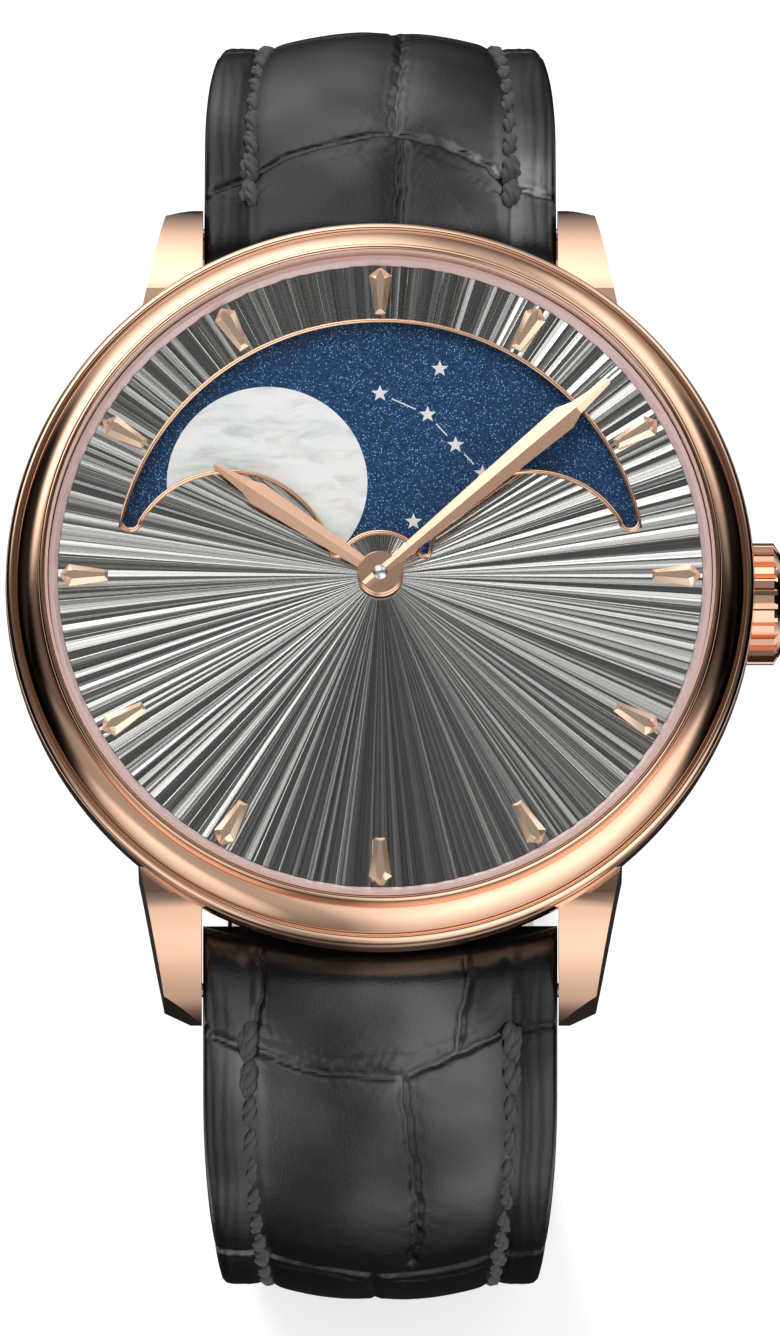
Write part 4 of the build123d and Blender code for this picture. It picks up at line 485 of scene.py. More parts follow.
def make_bezel(material):
    """A turned ring; its profile is closed at the case shoulder."""
    profile = BEZEL_SKIRT + BEZEL_BEAD
    (outer_r, outer_h), (inner_r, inner_h) = BEZEL_BAND_OUTER, BEZEL_BAND_INNER
    for i in range(BEZEL_BAND_STEPS + 1):
        share = i / BEZEL_BAND_STEPS
        rise = BEZEL_BAND_RISE * (1 - (2 * share - 1) ** 2)
        lean = math.atan2(inner_h - outer_h, outer_r - inner_r)
        radius = outer_r + (inner_r - outer_r) * share + rise * math.sin(lean)
        profile.append((radius, outer_h + (inner_h - outer_h) * share + rise * math.cos(lean)))
    bezel = turned("turned_bezel", profile + BEZEL_RIDGE + BEZEL_LIP, 360, material)
    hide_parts("bezel")
    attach(bezel, "case")


# Hands with a ridge along the middle, as (reach, width) stations, and their hubs

HOUR_BEARING = math.radians(90 - 304.4)
HOUR_STATIONS = [(0.0, 0.62), (8.3, 1.36), (9.1, 0.84), (11.25, 0.34)]
HOUR_HUB = (0.74, 1.3)
MINUTE_BEARING = math.radians(90 - 48.8)
MINUTE_STATIONS = [(-1.12, 0.5), (0.0, 0.58), (13.7, 1.5), (14.6, 0.86), (17.0, 0.32)]
MINUTE_HUB = (0.36, 1.25)
HAND_T = 0.22
HAND_EDGE_T = 0.07
HUB_CHAMFER = 0.07
HUB_LIFT = 0.02
RIDGE_LIFT = 0.07
HUB_SIDES = 72


def make_hand(node, bearing, stations, hub, ridge_lift, material):
    """A ridged blade and a flat ring hub in one piece; the blade's root lies a little over the hub."""
    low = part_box(node)[0][2] / MM
    cos, sin = math.cos(bearing), math.sin(bearing)
    inner, outer = hub
    points, rings = [], []
    for reach, width in stations:
        near = max(0.0, 1.0 - max(0.0, reach - outer) / outer)
        ridge = low + HAND_T + ridge_lift * near
        edge = low + HAND_EDGE_T + (HAND_T - HAND_EDGE_T + HUB_LIFT) * near * (1 if ridge_lift else 0)
        section = [(-width / 2, low), (-width / 2, edge), (0.0, ridge), (width / 2, edge), (width / 2, low)]
        add_ring(points, rings, [(reach * cos - x * sin, reach * sin + x * cos, z) for x, z in section])
    faces = turned_over(join_rings(rings))
    faces += [tuple(rings[0]), tuple(reversed(rings[-1]))]
    top = low + HAND_T + (HUB_LIFT if ridge_lift else 0.0)
    profile = [
        (outer, low), (outer, top - HUB_CHAMFER), (outer - HUB_CHAMFER, top), (inner + HUB_CHAMFER, top),
        (inner, top - HUB_CHAMFER), (inner, low),
    ]
    hub_rings = []
    for k in range(HUB_SIDES):
        turn = 2 * math.pi * k / HUB_SIDES
        add_ring(points, hub_rings, [(*around(r, turn), z) for r, z in profile])
    faces += turned_over(join_rings(hub_rings + [hub_rings[0]]))
    hand = add_mesh("faceted_" + node, points, faces, material)
    hand.data.set_sharp_from_angle(angle=math.radians(8))
    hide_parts(node)
    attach(hand, node.split("_")[0])


# Fluted dial surface: facets from the centre to the edge, around the moon window.
# Flute heights are shares of the radius, so the facets deepen outwards.

DIAL_HUB_R = 1.25
DIAL_EDGE_R = 18.02
HUMP_ACROSS = 8.45
HUMP_RISE = 0.27
# Where the flutes stop, just outside the window's frame
WINDOW_R = 14.9
HUMP_R = 5.7
ARCH_R = 2.45
WINDOW_CUSP_RISE = 1.05
WINDOW_TIP_RISE = 2.8
WINDOW_TIP_START = 11.0
BAND_START_R = 3.0
BAND_POINT_COUNTS = (5, 8, 5)
FLUTE_LIMIT = 0.0055
FLUTE_TURN_BACK = 0.0035
FLUTE_TURN_UP = 0.0012
STEEP_CUT_CHANCE = 0.75


def in_window(x, y):
    radius = math.hypot(x, y)
    if radius > WINDOW_R or radius < ARCH_R or y < WINDOW_CUSP_RISE:
        return False
    if abs(x) > WINDOW_TIP_START and y < WINDOW_TIP_RISE:
        return False
    return math.hypot(abs(x) - HUMP_ACROSS, y - HUMP_RISE) > HUMP_R


def window_crossings(bearing, step=0.04):
    """Where a ray from the centre enters and leaves the window, as (in, out) pairs."""
    cos, sin = math.cos(bearing), math.sin(bearing)
    spans, inside, start = [], False, 0.0
    for i in range(int(DIAL_EDGE_R / step)):
        radius = i * step
        now = in_window(radius * cos, radius * sin)
        if now and not inside:
            start = radius
        if inside and not now:
            spans.append((start, radius))
        inside = now
    return spans


def ray_bands(bearing):
    """Three stretches of dial along a ray: inside the window, on its humps and outside it."""
    spans = window_crossings(bearing)
    if not spans:
        return (DIAL_HUB_R, BAND_START_R), (BAND_START_R, WINDOW_R), (WINDOW_R, DIAL_EDGE_R)
    if len(spans) > 1:
        return (DIAL_HUB_R, spans[0][0]), (spans[0][1], spans[-1][0]), (spans[-1][1], DIAL_EDGE_R)
    start, end = spans[0]
    if start < HUMP_ACROSS / 2:
        return (DIAL_HUB_R, start), (start, start), (end, DIAL_EDGE_R)
    return (DIAL_HUB_R, BAND_START_R), (BAND_START_R, start), (end, DIAL_EDGE_R)


def climbed(height, width, slope):
    """Flute height after a facet, its width and slope given in degrees."""
    height += math.radians(width) * math.tan(math.radians(slope))
    return min(FLUTE_LIMIT, max(0.0, height))


def flute_rays():
    """Facet edges round the dial as (bearing, height per radius): uneven steps of a few narrow facets."""
    dice = random.Random(12)
    rays, turn, height = [], 0.0, 0.0
    while turn < 360:
        climb = dice.choice((-1, 1))
        if height > FLUTE_TURN_BACK:
            climb = -1
        if height < FLUTE_TURN_UP:
            climb = 1
        lean = dice.uniform(5, 17)
        for _ in range(dice.randint(2, 5)):
            width = dice.uniform(0.16, 0.62)
            rays.append((math.radians(turn), height))
            slope = climb * lean + dice.uniform(-4.5, 4.5)
            height = climbed(height, width, slope)
            turn += width
        if dice.random() < STEEP_CUT_CHANCE:
            width = dice.uniform(0.07, 0.16)
            rays.append((math.radians(turn), height))
            slope = -climb * dice.uniform(22, 40)
            height = climbed(height, width, slope)
            turn += width
    return rays


def make_fluted_dial(material):
    rays = flute_rays()
    points, columns = [], []
    base = dial_top + 0.01
    for bearing, height in rays:
        column = []
        for (start, end), count in zip(ray_bands(bearing), BAND_POINT_COUNTS):
            band = []
            for i in range(count):
                radius = start + (end - start) * i / (count - 1)
                band.append(len(points))
                points.append((*around(radius, bearing), base + height * radius))
            column.append((band, end - start))
        columns.append(column)
    faces = []
    for a, b in zip(columns, columns[1:] + columns[:1]):
        for (first, first_span), (second, second_span) in zip(a, b):
            if first_span > 0 or second_span > 0:
                for i in range(len(first) - 1):
                    faces.append((first[i], first[i + 1], second[i + 1], second[i]))
    dial = add_mesh("fluted_dial", points, faces, material, smooth=False)
    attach(dial, "case")


# Window frame: a rounded wire round the opening, with a skirt through the dial

OPENING_R = 14.75
OPENING_HUMP_R = 5.85
OPENING_ARCH_R = 2.6
OPENING_CUSP_RISE = 1.2
OPENING_TIP_RISE = 3.15
FRAME_PROFILE = [
    (0.02, -0.4), (0.0, -0.02), (-0.045, 0.06), (-0.02, 0.14), (0.05, 0.185), (0.13, 0.18), (0.19, 0.12),
    (0.215, 0.02), (0.2, -0.05), (0.12, -0.06), (0.12, -0.4),
]


def arc_points(centre, radius, start, end, count):
    turns = [start + (end - start) * i / (count - 1) for i in range(count)]
    return [(centre[0] + radius * math.cos(t), centre[1] + radius * math.sin(t)) for t in turns]


def opening_outline():
    """The moon window's outline, counter-clockwise, from the right-hand tip."""
    tip = math.asin(OPENING_TIP_RISE / OPENING_R)
    over = arc_points((0, 0), OPENING_R, tip, math.pi - tip, 120)
    foot = math.asin((OPENING_TIP_RISE - HUMP_RISE) / OPENING_HUMP_R)
    cusp = math.asin((OPENING_CUSP_RISE - HUMP_RISE) / OPENING_HUMP_R)
    hub = math.asin(OPENING_CUSP_RISE / OPENING_ARCH_R)
    left = arc_points((-HUMP_ACROSS, HUMP_RISE), OPENING_HUMP_R, math.pi - foot, cusp, 60)
    arch = arc_points((0, 0), OPENING_ARCH_R, math.pi - hub, hub, 30)
    right = [(-x, y) for x, y in reversed(left)]
    tip_r = (over[0][0] - right[-1][0]) / 2
    end = arc_points(((over[0][0] + right[-1][0]) / 2, OPENING_TIP_RISE), tip_r, -math.pi + 0.3, -0.15, 12)
    start = [(-x, y) for x, y in reversed(end)]
    return over + start + left + arch + right + end


def make_window_frame(material):
    outline = opening_outline()
    points, rings = [], []
    for index, (x, y) in enumerate(outline):
        ahead = Vector(outline[(index + 1) % len(outline)])
        behind = Vector(outline[index - 1])
        along = (ahead - behind).normalized()
        outward = Vector((along.y, -along.x))
        places = []
        for away, rise in FRAME_PROFILE:
            places.append((x + outward.x * away, y + outward.y * away, dial_top + rise))
        add_ring(points, rings, places)
    frame_wire = add_mesh("window_frame_wire", points, join_rings(rings + [rings[0]]), material)
    frame_wire.data.set_sharp_from_angle(angle=math.radians(50))
    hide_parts("window_frame")
    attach(frame_wire, "case")


# Strap

LUG_BAR_REACH = 22.0
LUG_BAR_H = 1.9
LUG_HEADING = 18.0
STRAP_LUG_T = 4.3
STRAP_END_T = 2.6
STRAP_LUG_WIDTH = 19.84
STRAP_END_WIDTH = 17.85
STRAP_TAPER_START = 6.0
STRAP_TAPER_END = 26.0
LUG_END_REACH = 2.4
LUG_END_CURVE = 1.2
LUG_END_SQUARENESS = 2.3
STRAP_THIN_LENGTH = 55.0
SHORT_STRETCHES = [("bend", 22.0, 90.0), ("run", 35.5, 0)]
LONG_STRETCHES = [
    ("bend", 16.5, 106.0), ("run", 40.9, 0), ("bend", 10.0, 180.0), ("run", 28.4, 0), ("bend", 25.0, 200.0),
]
ROUTE_STEP = 0.05
PAD_T = 0.98
PAD_POWER = 2.05
PAD_FADE_START = 50.0
PAD_FADE_END = 66.0
SEAM_INSET = 2.6
SEAM_DROP = 0.2
EDGE_ROUND = 0.55
FINE_STEP = 0.16
FINE_LENGTH = 26.0
COARSE_STEP = 0.3
ACROSS_COUNT = 124
LINING_COUNT = 22
CAP_COUNT = 18
LINING_BEVEL = 0.25
ROUND_ANGLES = (30, 60, 90)
TIP_LENGTH = 7.0
TIP_THINNING = 0.25
TIP_THINNING_LENGTH = 1.6
FIRST_HOLE_LENGTH = 104.6
HOLE_PITCH = 5.0
HOLE_COUNT = 6
HOLE_R = 0.95
CUTTER_DEPTH = 8.0
TONGUE_NOTCH = (2.2, 2.6)


def make_route(side, stretches):
    """Fine stations along a strap half's middle line as rows of (y, z, heading in radians)."""
    y, z, heading = side * LUG_BAR_REACH, back_z + LUG_BAR_H, math.radians(LUG_HEADING)
    rows = [(y, z, heading)]
    for kind, size, target in stretches:
        goal = math.radians(target)
        length = size * (goal - heading) if kind == "bend" else size
        count = max(1, round(length / ROUTE_STEP))
        step = length / count
        turn = step / size if kind == "bend" else 0.0
        for _ in range(count):
            middle = heading + turn / 2
            y += side * step * math.cos(middle)
            z -= step * math.sin(middle)
            heading += turn
            rows.append((y, z, heading))
    return np.array(rows)


def smooth_share(value):
    value = np.clip(value, 0.0, 1.0)
    return value * value * (3 - 2 * value)


def strap_half_width(length, whole, tip):
    taper = smooth_share((length - STRAP_TAPER_START) / (STRAP_TAPER_END - STRAP_TAPER_START))
    width = STRAP_LUG_WIDTH + (STRAP_END_WIDTH - STRAP_LUG_WIDTH) * taper
    if tip:
        into = np.clip((length - (whole - TIP_LENGTH)) / TIP_LENGTH, 0, 1)
        width = width * np.sqrt(np.maximum(0.0, 1 - (into * 0.94) ** 2.6))
    return width / 2


def strap_thickness(length):
    return STRAP_LUG_T + (STRAP_END_T - STRAP_LUG_T) * np.clip(length / STRAP_THIN_LENGTH, 0, 1)


def strap_pad(length):
    rise = smooth_share((length + 1.0) / 4.0)
    fade = 1 - smooth_share((length - PAD_FADE_START) / (PAD_FADE_END - PAD_FADE_START))
    return PAD_T * (0.35 + 0.65 * rise) * (0.12 + 0.88 * fade)


def distance_to_lines(x, length, lines):
    """Least distance from each point to any of the crease lines, given as lists of (x, length)."""
    least = np.full(x.shape, 99.0)
    for line in lines:
        for (x1, s1), (x2, s2) in zip(line, line[1:]):
            dx, ds = x2 - x1, s2 - s1
            span = dx * dx + ds * ds
            share = np.clip(((x - x1) * dx + (length - s1) * ds) / span, 0, 1)
            least = np.minimum(least, np.hypot(x - x1 - share * dx, length - s1 - share * ds))
    return least


# Creases between the leather's scales, in millimetres across and along each half

SHORT_MAIN_CREASES = [
    [
        (-9.9, 1.9), (-7.6, 3.1), (-5.4, 4.3), (-3.3, 4.9), (0.4, 5.7),
        (3.4, 5.0), (6.1, 3.8), (7.5, 2.5), (9.9, 1.6),
    ],
    [(1.2, 18.4), (1.15, 12.4), (0.9, 8.9), (0.8, 5.7)],
    [(1.35, 4.9), (1.2, 1.4), (1.0, -3.0)],
]
SHORT_FINE_CREASES = [
    [(-9.6, 1.0), (-7.0, 2.0), (-4.4, 3.3), (-1.0, 4.4), (2.2, 4.3), (5.0, 3.2), (7.2, 1.6)],
    [(-4.8, 4.0), (-1.6, 5.0), (0.6, 5.2), (3.2, 4.5)],
]
LONG_MAIN_CREASES = [
    [(-9.9, 2.2), (-7.8, 2.9), (-5.0, 3.7), (-2.8, 4.2), (1.2, 4.25), (3.9, 3.3), (7.1, 2.1), (9.9, 1.8)],
    [(-6.6, -3.0), (-6.7, 0.2), (-6.9, 1.6)],
    [(4.8, -3.0), (4.9, -0.4), (4.6, 1.2), (4.2, 3.0)],
    [(1.2, 4.4), (1.4, 6.6), (1.9, 10.1), (2.1, 13.2), (1.8, 16.9)],
]
LONG_FINE_CREASES = [
    [(-7.4, 2.0), (-4.6, 2.9), (-1.8, 3.4), (1.6, 3.3), (4.2, 2.4), (6.6, 1.1)],
    [(-2.6, 3.8), (0.4, 3.9), (3.2, 3.1)],
]
SCALE_PITCH = 12.6


def further_creases(start, end, seed):
    """Bands of creases across the strap, with lengthways creases between them."""
    dice = random.Random(seed)
    main, fine = [], []
    length, slant = start, 1
    while length < end:
        lift = dice.uniform(0.8, 1.6) * slant
        band = []
        for x in range(-10, 11, 2):
            band.append((x, length + lift * (1 - (x / 10.0) ** 2) + dice.uniform(-0.25, 0.25)))
        main.append(band)
        fine.append([(x, s + dice.uniform(0.5, 0.9)) for x, s in band[2:-2]])
        following = length + SCALE_PITCH * dice.uniform(0.9, 1.08)
        if slant > 0:
            middles = [dice.uniform(-1.5, 1.8)]
        else:
            middles = [dice.uniform(-5.6, -4.2), dice.uniform(3.8, 5.4)]
        for middle in middles:
            steps = [length + 0.8 * lift + (following - length) * i / 5 for i in range(6)]
            main.append([(middle + dice.uniform(-0.3, 0.3), s) for s in steps])
        length, slant = following, -slant
    return main, fine


def strap_relief(x, length, half, main, fine):
    """Height of the leather's surface over its plain form."""
    wobble = 0.2 * np.sin(length * 2.3 + x * 1.1) + 0.12 * np.sin(length * 5.1 - x * 2.3)
    main_gap = distance_to_lines(x + wobble * 0.32, length + wobble * 0.28, main)
    fine_gap = distance_to_lines(x - wobble * 0.4, length + wobble * 0.5, fine)
    relief = 0.13 * (1 - np.exp(-main_gap / 0.6)) + 0.2 * (1 - np.exp(-main_gap / 3.0))
    relief -= 0.13 * np.exp(-((main_gap / 0.17) ** 2))
    relief += 0.03 * np.exp(-(((main_gap - 0.4) / 0.18) ** 2))
    relief -= 0.07 * np.exp(-((fine_gap / 0.16) ** 2))
    near = np.exp(-((np.minimum(main_gap, fine_gap) / 0.8) ** 2))
    crinkle = np.sin(x * 7.3 + 2.2 * np.sin(length * 2.9)) * np.sin(length * 9.7 + 2.6 * np.sin(x * 1.7))
    relief += 0.02 * near * crinkle
    seam = half - SEAM_INSET
    groove = np.exp(-(((np.abs(x) - seam) / 0.5) ** 2))
    relief -= SEAM_DROP * groove
    margin = smooth_share((np.abs(x) - seam - 0.3) / 0.5)
    waves = np.sin(np.abs(x) * 10.5 + 0.9 * np.sin(length * 0.7))
    waves += 0.6 * np.sin(np.abs(x) * 17 + 1.3 * np.sin(length * 1.1))
    relief += margin * 0.009 * waves
    return relief


def strap_surface_height(x, length, half):
    """Height of the outer face over the middle line, before the relief."""
    seam = half - SEAM_INSET
    pad = strap_pad(length)
    inner = np.clip(np.abs(x) / np.maximum(seam, 0.1), 0, 1)
    return strap_thickness(length) / 2 - pad * inner**PAD_POWER


def make_strap(name, side, stretches, main, fine, tip, holes, notch, materials):
    """One strap half as a dense closed mesh, from the lug bar to its end."""
    route = make_route(side, stretches)
    whole = (len(route) - 1) * ROUTE_STEP
    coarse_count = round((whole - FINE_LENGTH) / COARSE_STEP)
    stations = [(0.0, angle) for angle in np.linspace(math.pi / 2, 0, CAP_COUNT, endpoint=False)]
    stations += [(length, 0.0) for length in np.arange(0.0, FINE_LENGTH, FINE_STEP)]
    stations += [(length, 0.0) for length in np.linspace(FINE_LENGTH, whole, coarse_count)]
    stations += [(whole, angle) for angle in np.linspace(0, math.pi / 2, CAP_COUNT)[1:]]
    points, rings = [], []
    for index, (length, cap) in enumerate(stations):
        at_start = index < CAP_COUNT
        half = float(strap_half_width(length, whole, tip))
        thickness = float(strap_thickness(length))
        row = route[min(len(route) - 1, round(length / ROUTE_STEP))]
        inner_half = half - EDGE_ROUND
        xs = np.linspace(-inner_half, inner_half, ACROSS_COUNT)
        s_value = np.full(xs.shape, length)
        past_end = (-cap if at_start else cap) * thickness / 2
        top = strap_surface_height(xs, s_value, half)
        top = top + strap_relief(xs, s_value + past_end, half, main, fine)
        if tip:
            into = (length - whole + TIP_THINNING_LENGTH) / TIP_THINNING_LENGTH
            top -= TIP_THINNING * smooth_share(into)
        edge_top = float(top[-1])
        low = -thickness / 2
        corner = []
        for angle in ROUND_ANGLES:
            turn = math.radians(angle)
            drop = EDGE_ROUND * (1 - math.cos(turn))
            corner.append((inner_half + EDGE_ROUND * math.sin(turn), edge_top - drop))
        corner += [(half, low + LINING_BEVEL), (half - LINING_BEVEL, low)]
        lining_half = half - 2 * LINING_BEVEL
        ring = [(float(x), float(h)) for x, h in zip(xs, top)] + corner
        ring += [(float(x), low) for x in np.linspace(lining_half, -lining_half, LINING_COUNT)]
        ring += [(-x, h) for x, h in reversed(corner)]
        y, z, heading = row
        along = (side * math.cos(heading), -math.sin(heading))
        out = (side * math.sin(heading), math.cos(heading))
        places = []
        for x, h in ring:
            if at_start:
                reach = LUG_END_REACH + LUG_END_CURVE * (x / half) ** 2
                shift = -reach * math.sin(cap) ** (2 / LUG_END_SQUARENESS)
                h *= max(0.0, math.cos(cap)) ** (2 / LUG_END_SQUARENESS)
            else:
                shift = thickness / 2 * math.sin(cap) * (0.4 if tip else 1.0)
                h *= math.cos(cap)
            places.append((x, y + along[0] * shift + out[0] * h, z + along[1] * shift + out[1] * h))
        add_ring(points, rings, places)
    faces = join_rings(rings) + [tuple(reversed(rings[0])), tuple(rings[-1])]
    strap = add_mesh(name, points, turned_over(faces) if side < 0 else faces, *materials)
    count = len(rings[0])
    lining_start = ACROSS_COUNT + len(ROUND_ANGLES)
    lining_end = count - len(ROUND_ANGLES) - 2
    for number, polygon in enumerate(strap.data.polygons):
        if number < count * (len(rings) - 1) and lining_start <= number % count < lining_end:
            polygon.material_index = 1
    cut_holes(strap, side, route, whole, holes, notch)
    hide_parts(name.replace("_leather", ""))
    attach(strap, name.replace("_leather", ""))
    return route


def cut_holes(strap, side, route, whole, holes, notch):
    """Cuts the tongue's round holes, or the notch that the tongue turns in."""
    cutters = []
    for length in holes:
        y, z, heading = route[round(length / ROUTE_STEP)]
        bpy.ops.mesh.primitive_cylinder_add(
            vertices=32, radius=HOLE_R * MM, depth=CUTTER_DEPTH * MM, location=(0, y * MM, z * MM),
            rotation=(-side * heading, 0, 0),
        )
        cutters.append(bpy.context.active_object)
    if notch:
        width, depth = notch
        y, z, heading = route[-1]
        middle = z + (depth - CUTTER_DEPTH) / 2
        bpy.ops.mesh.primitive_cube_add(size=1, location=(0, y * MM, middle * MM))
        box = bpy.context.active_object
        box.scale = (width * MM, CUTTER_DEPTH * MM, (depth + CUTTER_DEPTH) * MM)
        cutters.append(box)
    for cutter in cutters:
        modifier = strap.modifiers.new("cut", "BOOLEAN")
        modifier.operation = "DIFFERENCE"
        modifier.solver = "EXACT"
        modifier.object = cutter
        bpy.context.view_layer.objects.active = strap
        bpy.ops.object.modifier_apply(modifier="cut")
        bpy.data.objects.remove(cutter)


# Stitches, each a plump twist of three plies, one close behind the other

STITCH_PITCH = 1.95
STITCH_LENGTH = 2.1
PLY_COUNT = 3
PLY_R = 0.25
PLY_OFFSET = 0.2
PLY_TURNS = 0.85
KNOT_COUNT = 2
KNOT_SIZE = 1.12
STITCH_STEPS = 13


def tube(points, radii, sides=7):
    """A round tube through points, its ring radii given one by one."""
    rings, made = [], []
    reference = Vector((1, 0, 0))
    for index, point in enumerate(points):
        ahead = Vector(points[min(index + 1, len(points) - 1)])
        behind = Vector(points[max(index - 1, 0)])
        forward = (ahead - behind).normalized()
        first = (reference - forward * reference.dot(forward)).normalized()
        second = forward.cross(first)
        places = []
        for k in range(sides):
            turn = 2 * math.pi * k / sides
            offset = (first * math.cos(turn) + second * math.sin(turn)) * radii[index]
            places.append(tuple(Vector(point) + offset))
        add_ring(made, rings, places)
    return made, join_rings(rings) + [tuple(reversed(rings[0])), tuple(rings[-1])]


def make_stitches(name, side, route, body, start, end, tip, material):
    """Two rows of twisted stitches along a strap half."""
    dice = random.Random(5 if side > 0 else 9)
    whole = (len(route) - 1) * ROUTE_STEP
    points, faces = [], []

    def on_strap(x, length, lift):
        y, z, heading = route[min(len(route) - 1, max(0, round(length / ROUTE_STEP)))]
        half = float(strap_half_width(length, whole, tip))
        height = float(strap_surface_height(np.array([x]), np.array([length]), half)[0]) + lift
        return (x, y + side * math.sin(heading) * height, z + math.cos(heading) * height)

    def add_stitch(seam, length, slant, fat):
        nonlocal points, faces
        phase = dice.uniform(0, 2 * math.pi)
        for ply in range(PLY_COUNT):
            line, radii = [], []
            for i in range(STITCH_STEPS):
                share = i / (STITCH_STEPS - 1)
                turn = phase + 2 * math.pi * (ply / PLY_COUNT + PLY_TURNS * share)
                plump = math.sin(math.pi * (0.08 + 0.84 * share)) ** 0.6
                reach = PLY_OFFSET * fat * plump
                x = seam + slant * (2 * share - 1) + reach * math.cos(turn)
                lift = -0.02 + reach * math.sin(turn) - 0.3 * (2 * share - 1) ** 4
                line.append(on_strap(x, length + share * STITCH_LENGTH, lift))
                radii.append(PLY_R * fat * (0.45 + 0.55 * plump))
            made, made_faces = tube(line, radii)
            faces += [tuple(k + len(points) for k in face) for face in made_faces]
            points += made

    for edge in (-1, 1):
        length, number = start, 0
        while length < end:
            half = float(strap_half_width(length + STITCH_LENGTH / 2, whole, tip))
            seam = edge * (half - SEAM_INSET)
            slant = dice.uniform(0.08, 0.2) * edge
            fat = KNOT_SIZE if number < KNOT_COUNT else dice.uniform(0.92, 1.05)
            add_stitch(seam, length, slant, fat)
            if number < KNOT_COUNT:
                add_stitch(seam + 0.3 * edge, length + 0.25, -slant, 0.8)
            length += STITCH_PITCH * dice.uniform(0.95, 1.05)
            number += 1
    threads = add_mesh(name, points, faces, material)
    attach(threads, body)


# Keepers

KEEPER_WALL = 0.75
KEEPER_GAP = 0.08
KEEPER_CORNER_R = 1.5
KEEPER_CORNER_STEPS = 8
KEEPER_CROWN = 0.32
KEEPER_CROWN_STEPS = 12
KEEPER_BEVEL = 0.12
KEEPER_LINING_BEVEL = 0.2


def make_keeper(node, body, material):
    """A leather loop with a crowned outside, round the short half's straight leg."""
    low, high = (tuple(c / MM for c in corner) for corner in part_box(node))
    across, deep = STRAP_END_WIDTH / 2 + KEEPER_GAP + KEEPER_WALL, (high[1] - low[1]) / 2
    middle_y, middle_z = (low[1] + high[1]) / 2, (low[2] + high[2]) / 2
    height = (high[2] - low[2]) / 2
    path = []
    for index, (sx, sy) in enumerate(((1, 1), (-1, 1), (-1, -1), (1, -1))):
        centre_x, centre_y = sx * (across - KEEPER_CORNER_R), sy * (deep - KEEPER_CORNER_R)
        for k in range(KEEPER_CORNER_STEPS + 1):
            turn = math.radians(90 * index + 90 * k / KEEPER_CORNER_STEPS)
            x, y = around(KEEPER_CORNER_R, turn)
            path.append((centre_x + x, centre_y + y, turn))
    profile = []
    for k in range(KEEPER_CROWN_STEPS + 1):
        share = -1 + 2 * k / KEEPER_CROWN_STEPS
        profile.append((-KEEPER_CROWN * abs(share) ** 3.2, share * height))
    inside, edge = height - KEEPER_LINING_BEVEL, -KEEPER_WALL + KEEPER_BEVEL
    profile += [(edge, height), (-KEEPER_WALL, inside), (-KEEPER_WALL, -inside), (edge, -height)]
    points, rings = [], []
    for x, y, turn in path:
        places = []
        for inset, z in profile:
            places.append((x + inset * math.cos(turn), middle_y + y + inset * math.sin(turn), middle_z + z))
        add_ring(points, rings, places)
    keeper = add_mesh(node + "_leather", points, turned_over(join_rings(rings + [rings[0]])), material)
    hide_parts(node)
    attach(keeper, body)


# Studio

FLOOR_RADII = (100.0, 300.0, 600.0)
FLOOR_SIDES = 96
FLOOR_H = -0.02
FLOOR_GLOW = 0.45
FILL_LIGHT = 0.64
DOME_R = 1.2
DOME_LIGHT = 3.0
# The strip over the object from front (-) to back (+): degrees from straight overhead and brightness
STRIP_LIGHT = [
    (-180, 0.01), (-135, 0.015), (-116, 0.1), (-100, 0.3), (-85, 0.36), (-70, 0.45), (-50, 0.6),
    (-34, 0.62), (-12, 0.5), (-3, 0.1), (12, 0.05), (20, 0.07), (28, 0.6), (38, 1.0), (62, 0.8),
    (88, 0.48), (102, 0.3), (120, 0.14), (140, 0.02), (180, 0.01),
]
SIDE_LIGHT_SHARES = [(0.0, 1.0), (0.46, 1.0), (0.62, 0.75), (0.7, 0.1), (0.74, 0.01), (1.0, 0.01)]
SIDE_SPAN_SHARE = 1.25
SIDE_LEAN_SHARE = 0.22
# Light from below at both sides, which draws thin lines on the rims
RIM_LIGHT = 0.3
# Stronger behind on the left and in front on the right: the share by minus x times y, plus a half
CROSS_LIGHT_SHARES = [(0.05, 0.9), (0.12, 0.8), (0.22, 0.3), (0.38, 0.3), (0.52, 0.75), (0.64, 1.0)]


def make_floor():
    rings, points = [], [(0.0, 0.0, FLOOR_H)]
    turns = [2 * math.pi * k / FLOOR_SIDES for k in range(FLOOR_SIDES)]
    for radius in FLOOR_RADII:
        add_ring(points, rings, [(*around(radius, turn), FLOOR_H) for turn in turns])
    faces = join_rings(rings)
    faces += [(0, rings[0][k], rings[0][(k + 1) % FLOOR_SIDES]) for k in range(FLOOR_SIDES)]
    floor = add_mesh("floor", points, faces, smooth=False)
    s = Shader("floor_white")
    grain = s.noise(0.05, 2)
    diffuse = s.node("BsdfDiffuse", Color=s.mix(grain, (0.86, 0.86, 0.86), (0.9, 0.9, 0.9)))
    glow = s.node("Emission", Color=(1, 1, 1))
    rays = s.node("LightPath")
    seen = s.math("MAXIMUM", rays.outputs["Is Camera Ray"], rays.outputs["Is Glossy Ray"])
    seen = s.math("MAXIMUM", seen, rays.outputs["Is Transmission Ray"])
    s.put(glow.inputs["Strength"], s.math("MULTIPLY", seen, FLOOR_GLOW))
    both = s.node("AddShader")
    s.tree.links.new(diffuse.outputs["BSDF"], both.inputs[0])
    s.tree.links.new(glow.outputs["Emission"], both.inputs[1])
    s.tree.links.new(both.outputs["Shader"], s.output.inputs["Surface"])
    floor.data.materials.append(s.material)
    floor.visible_glossy = False


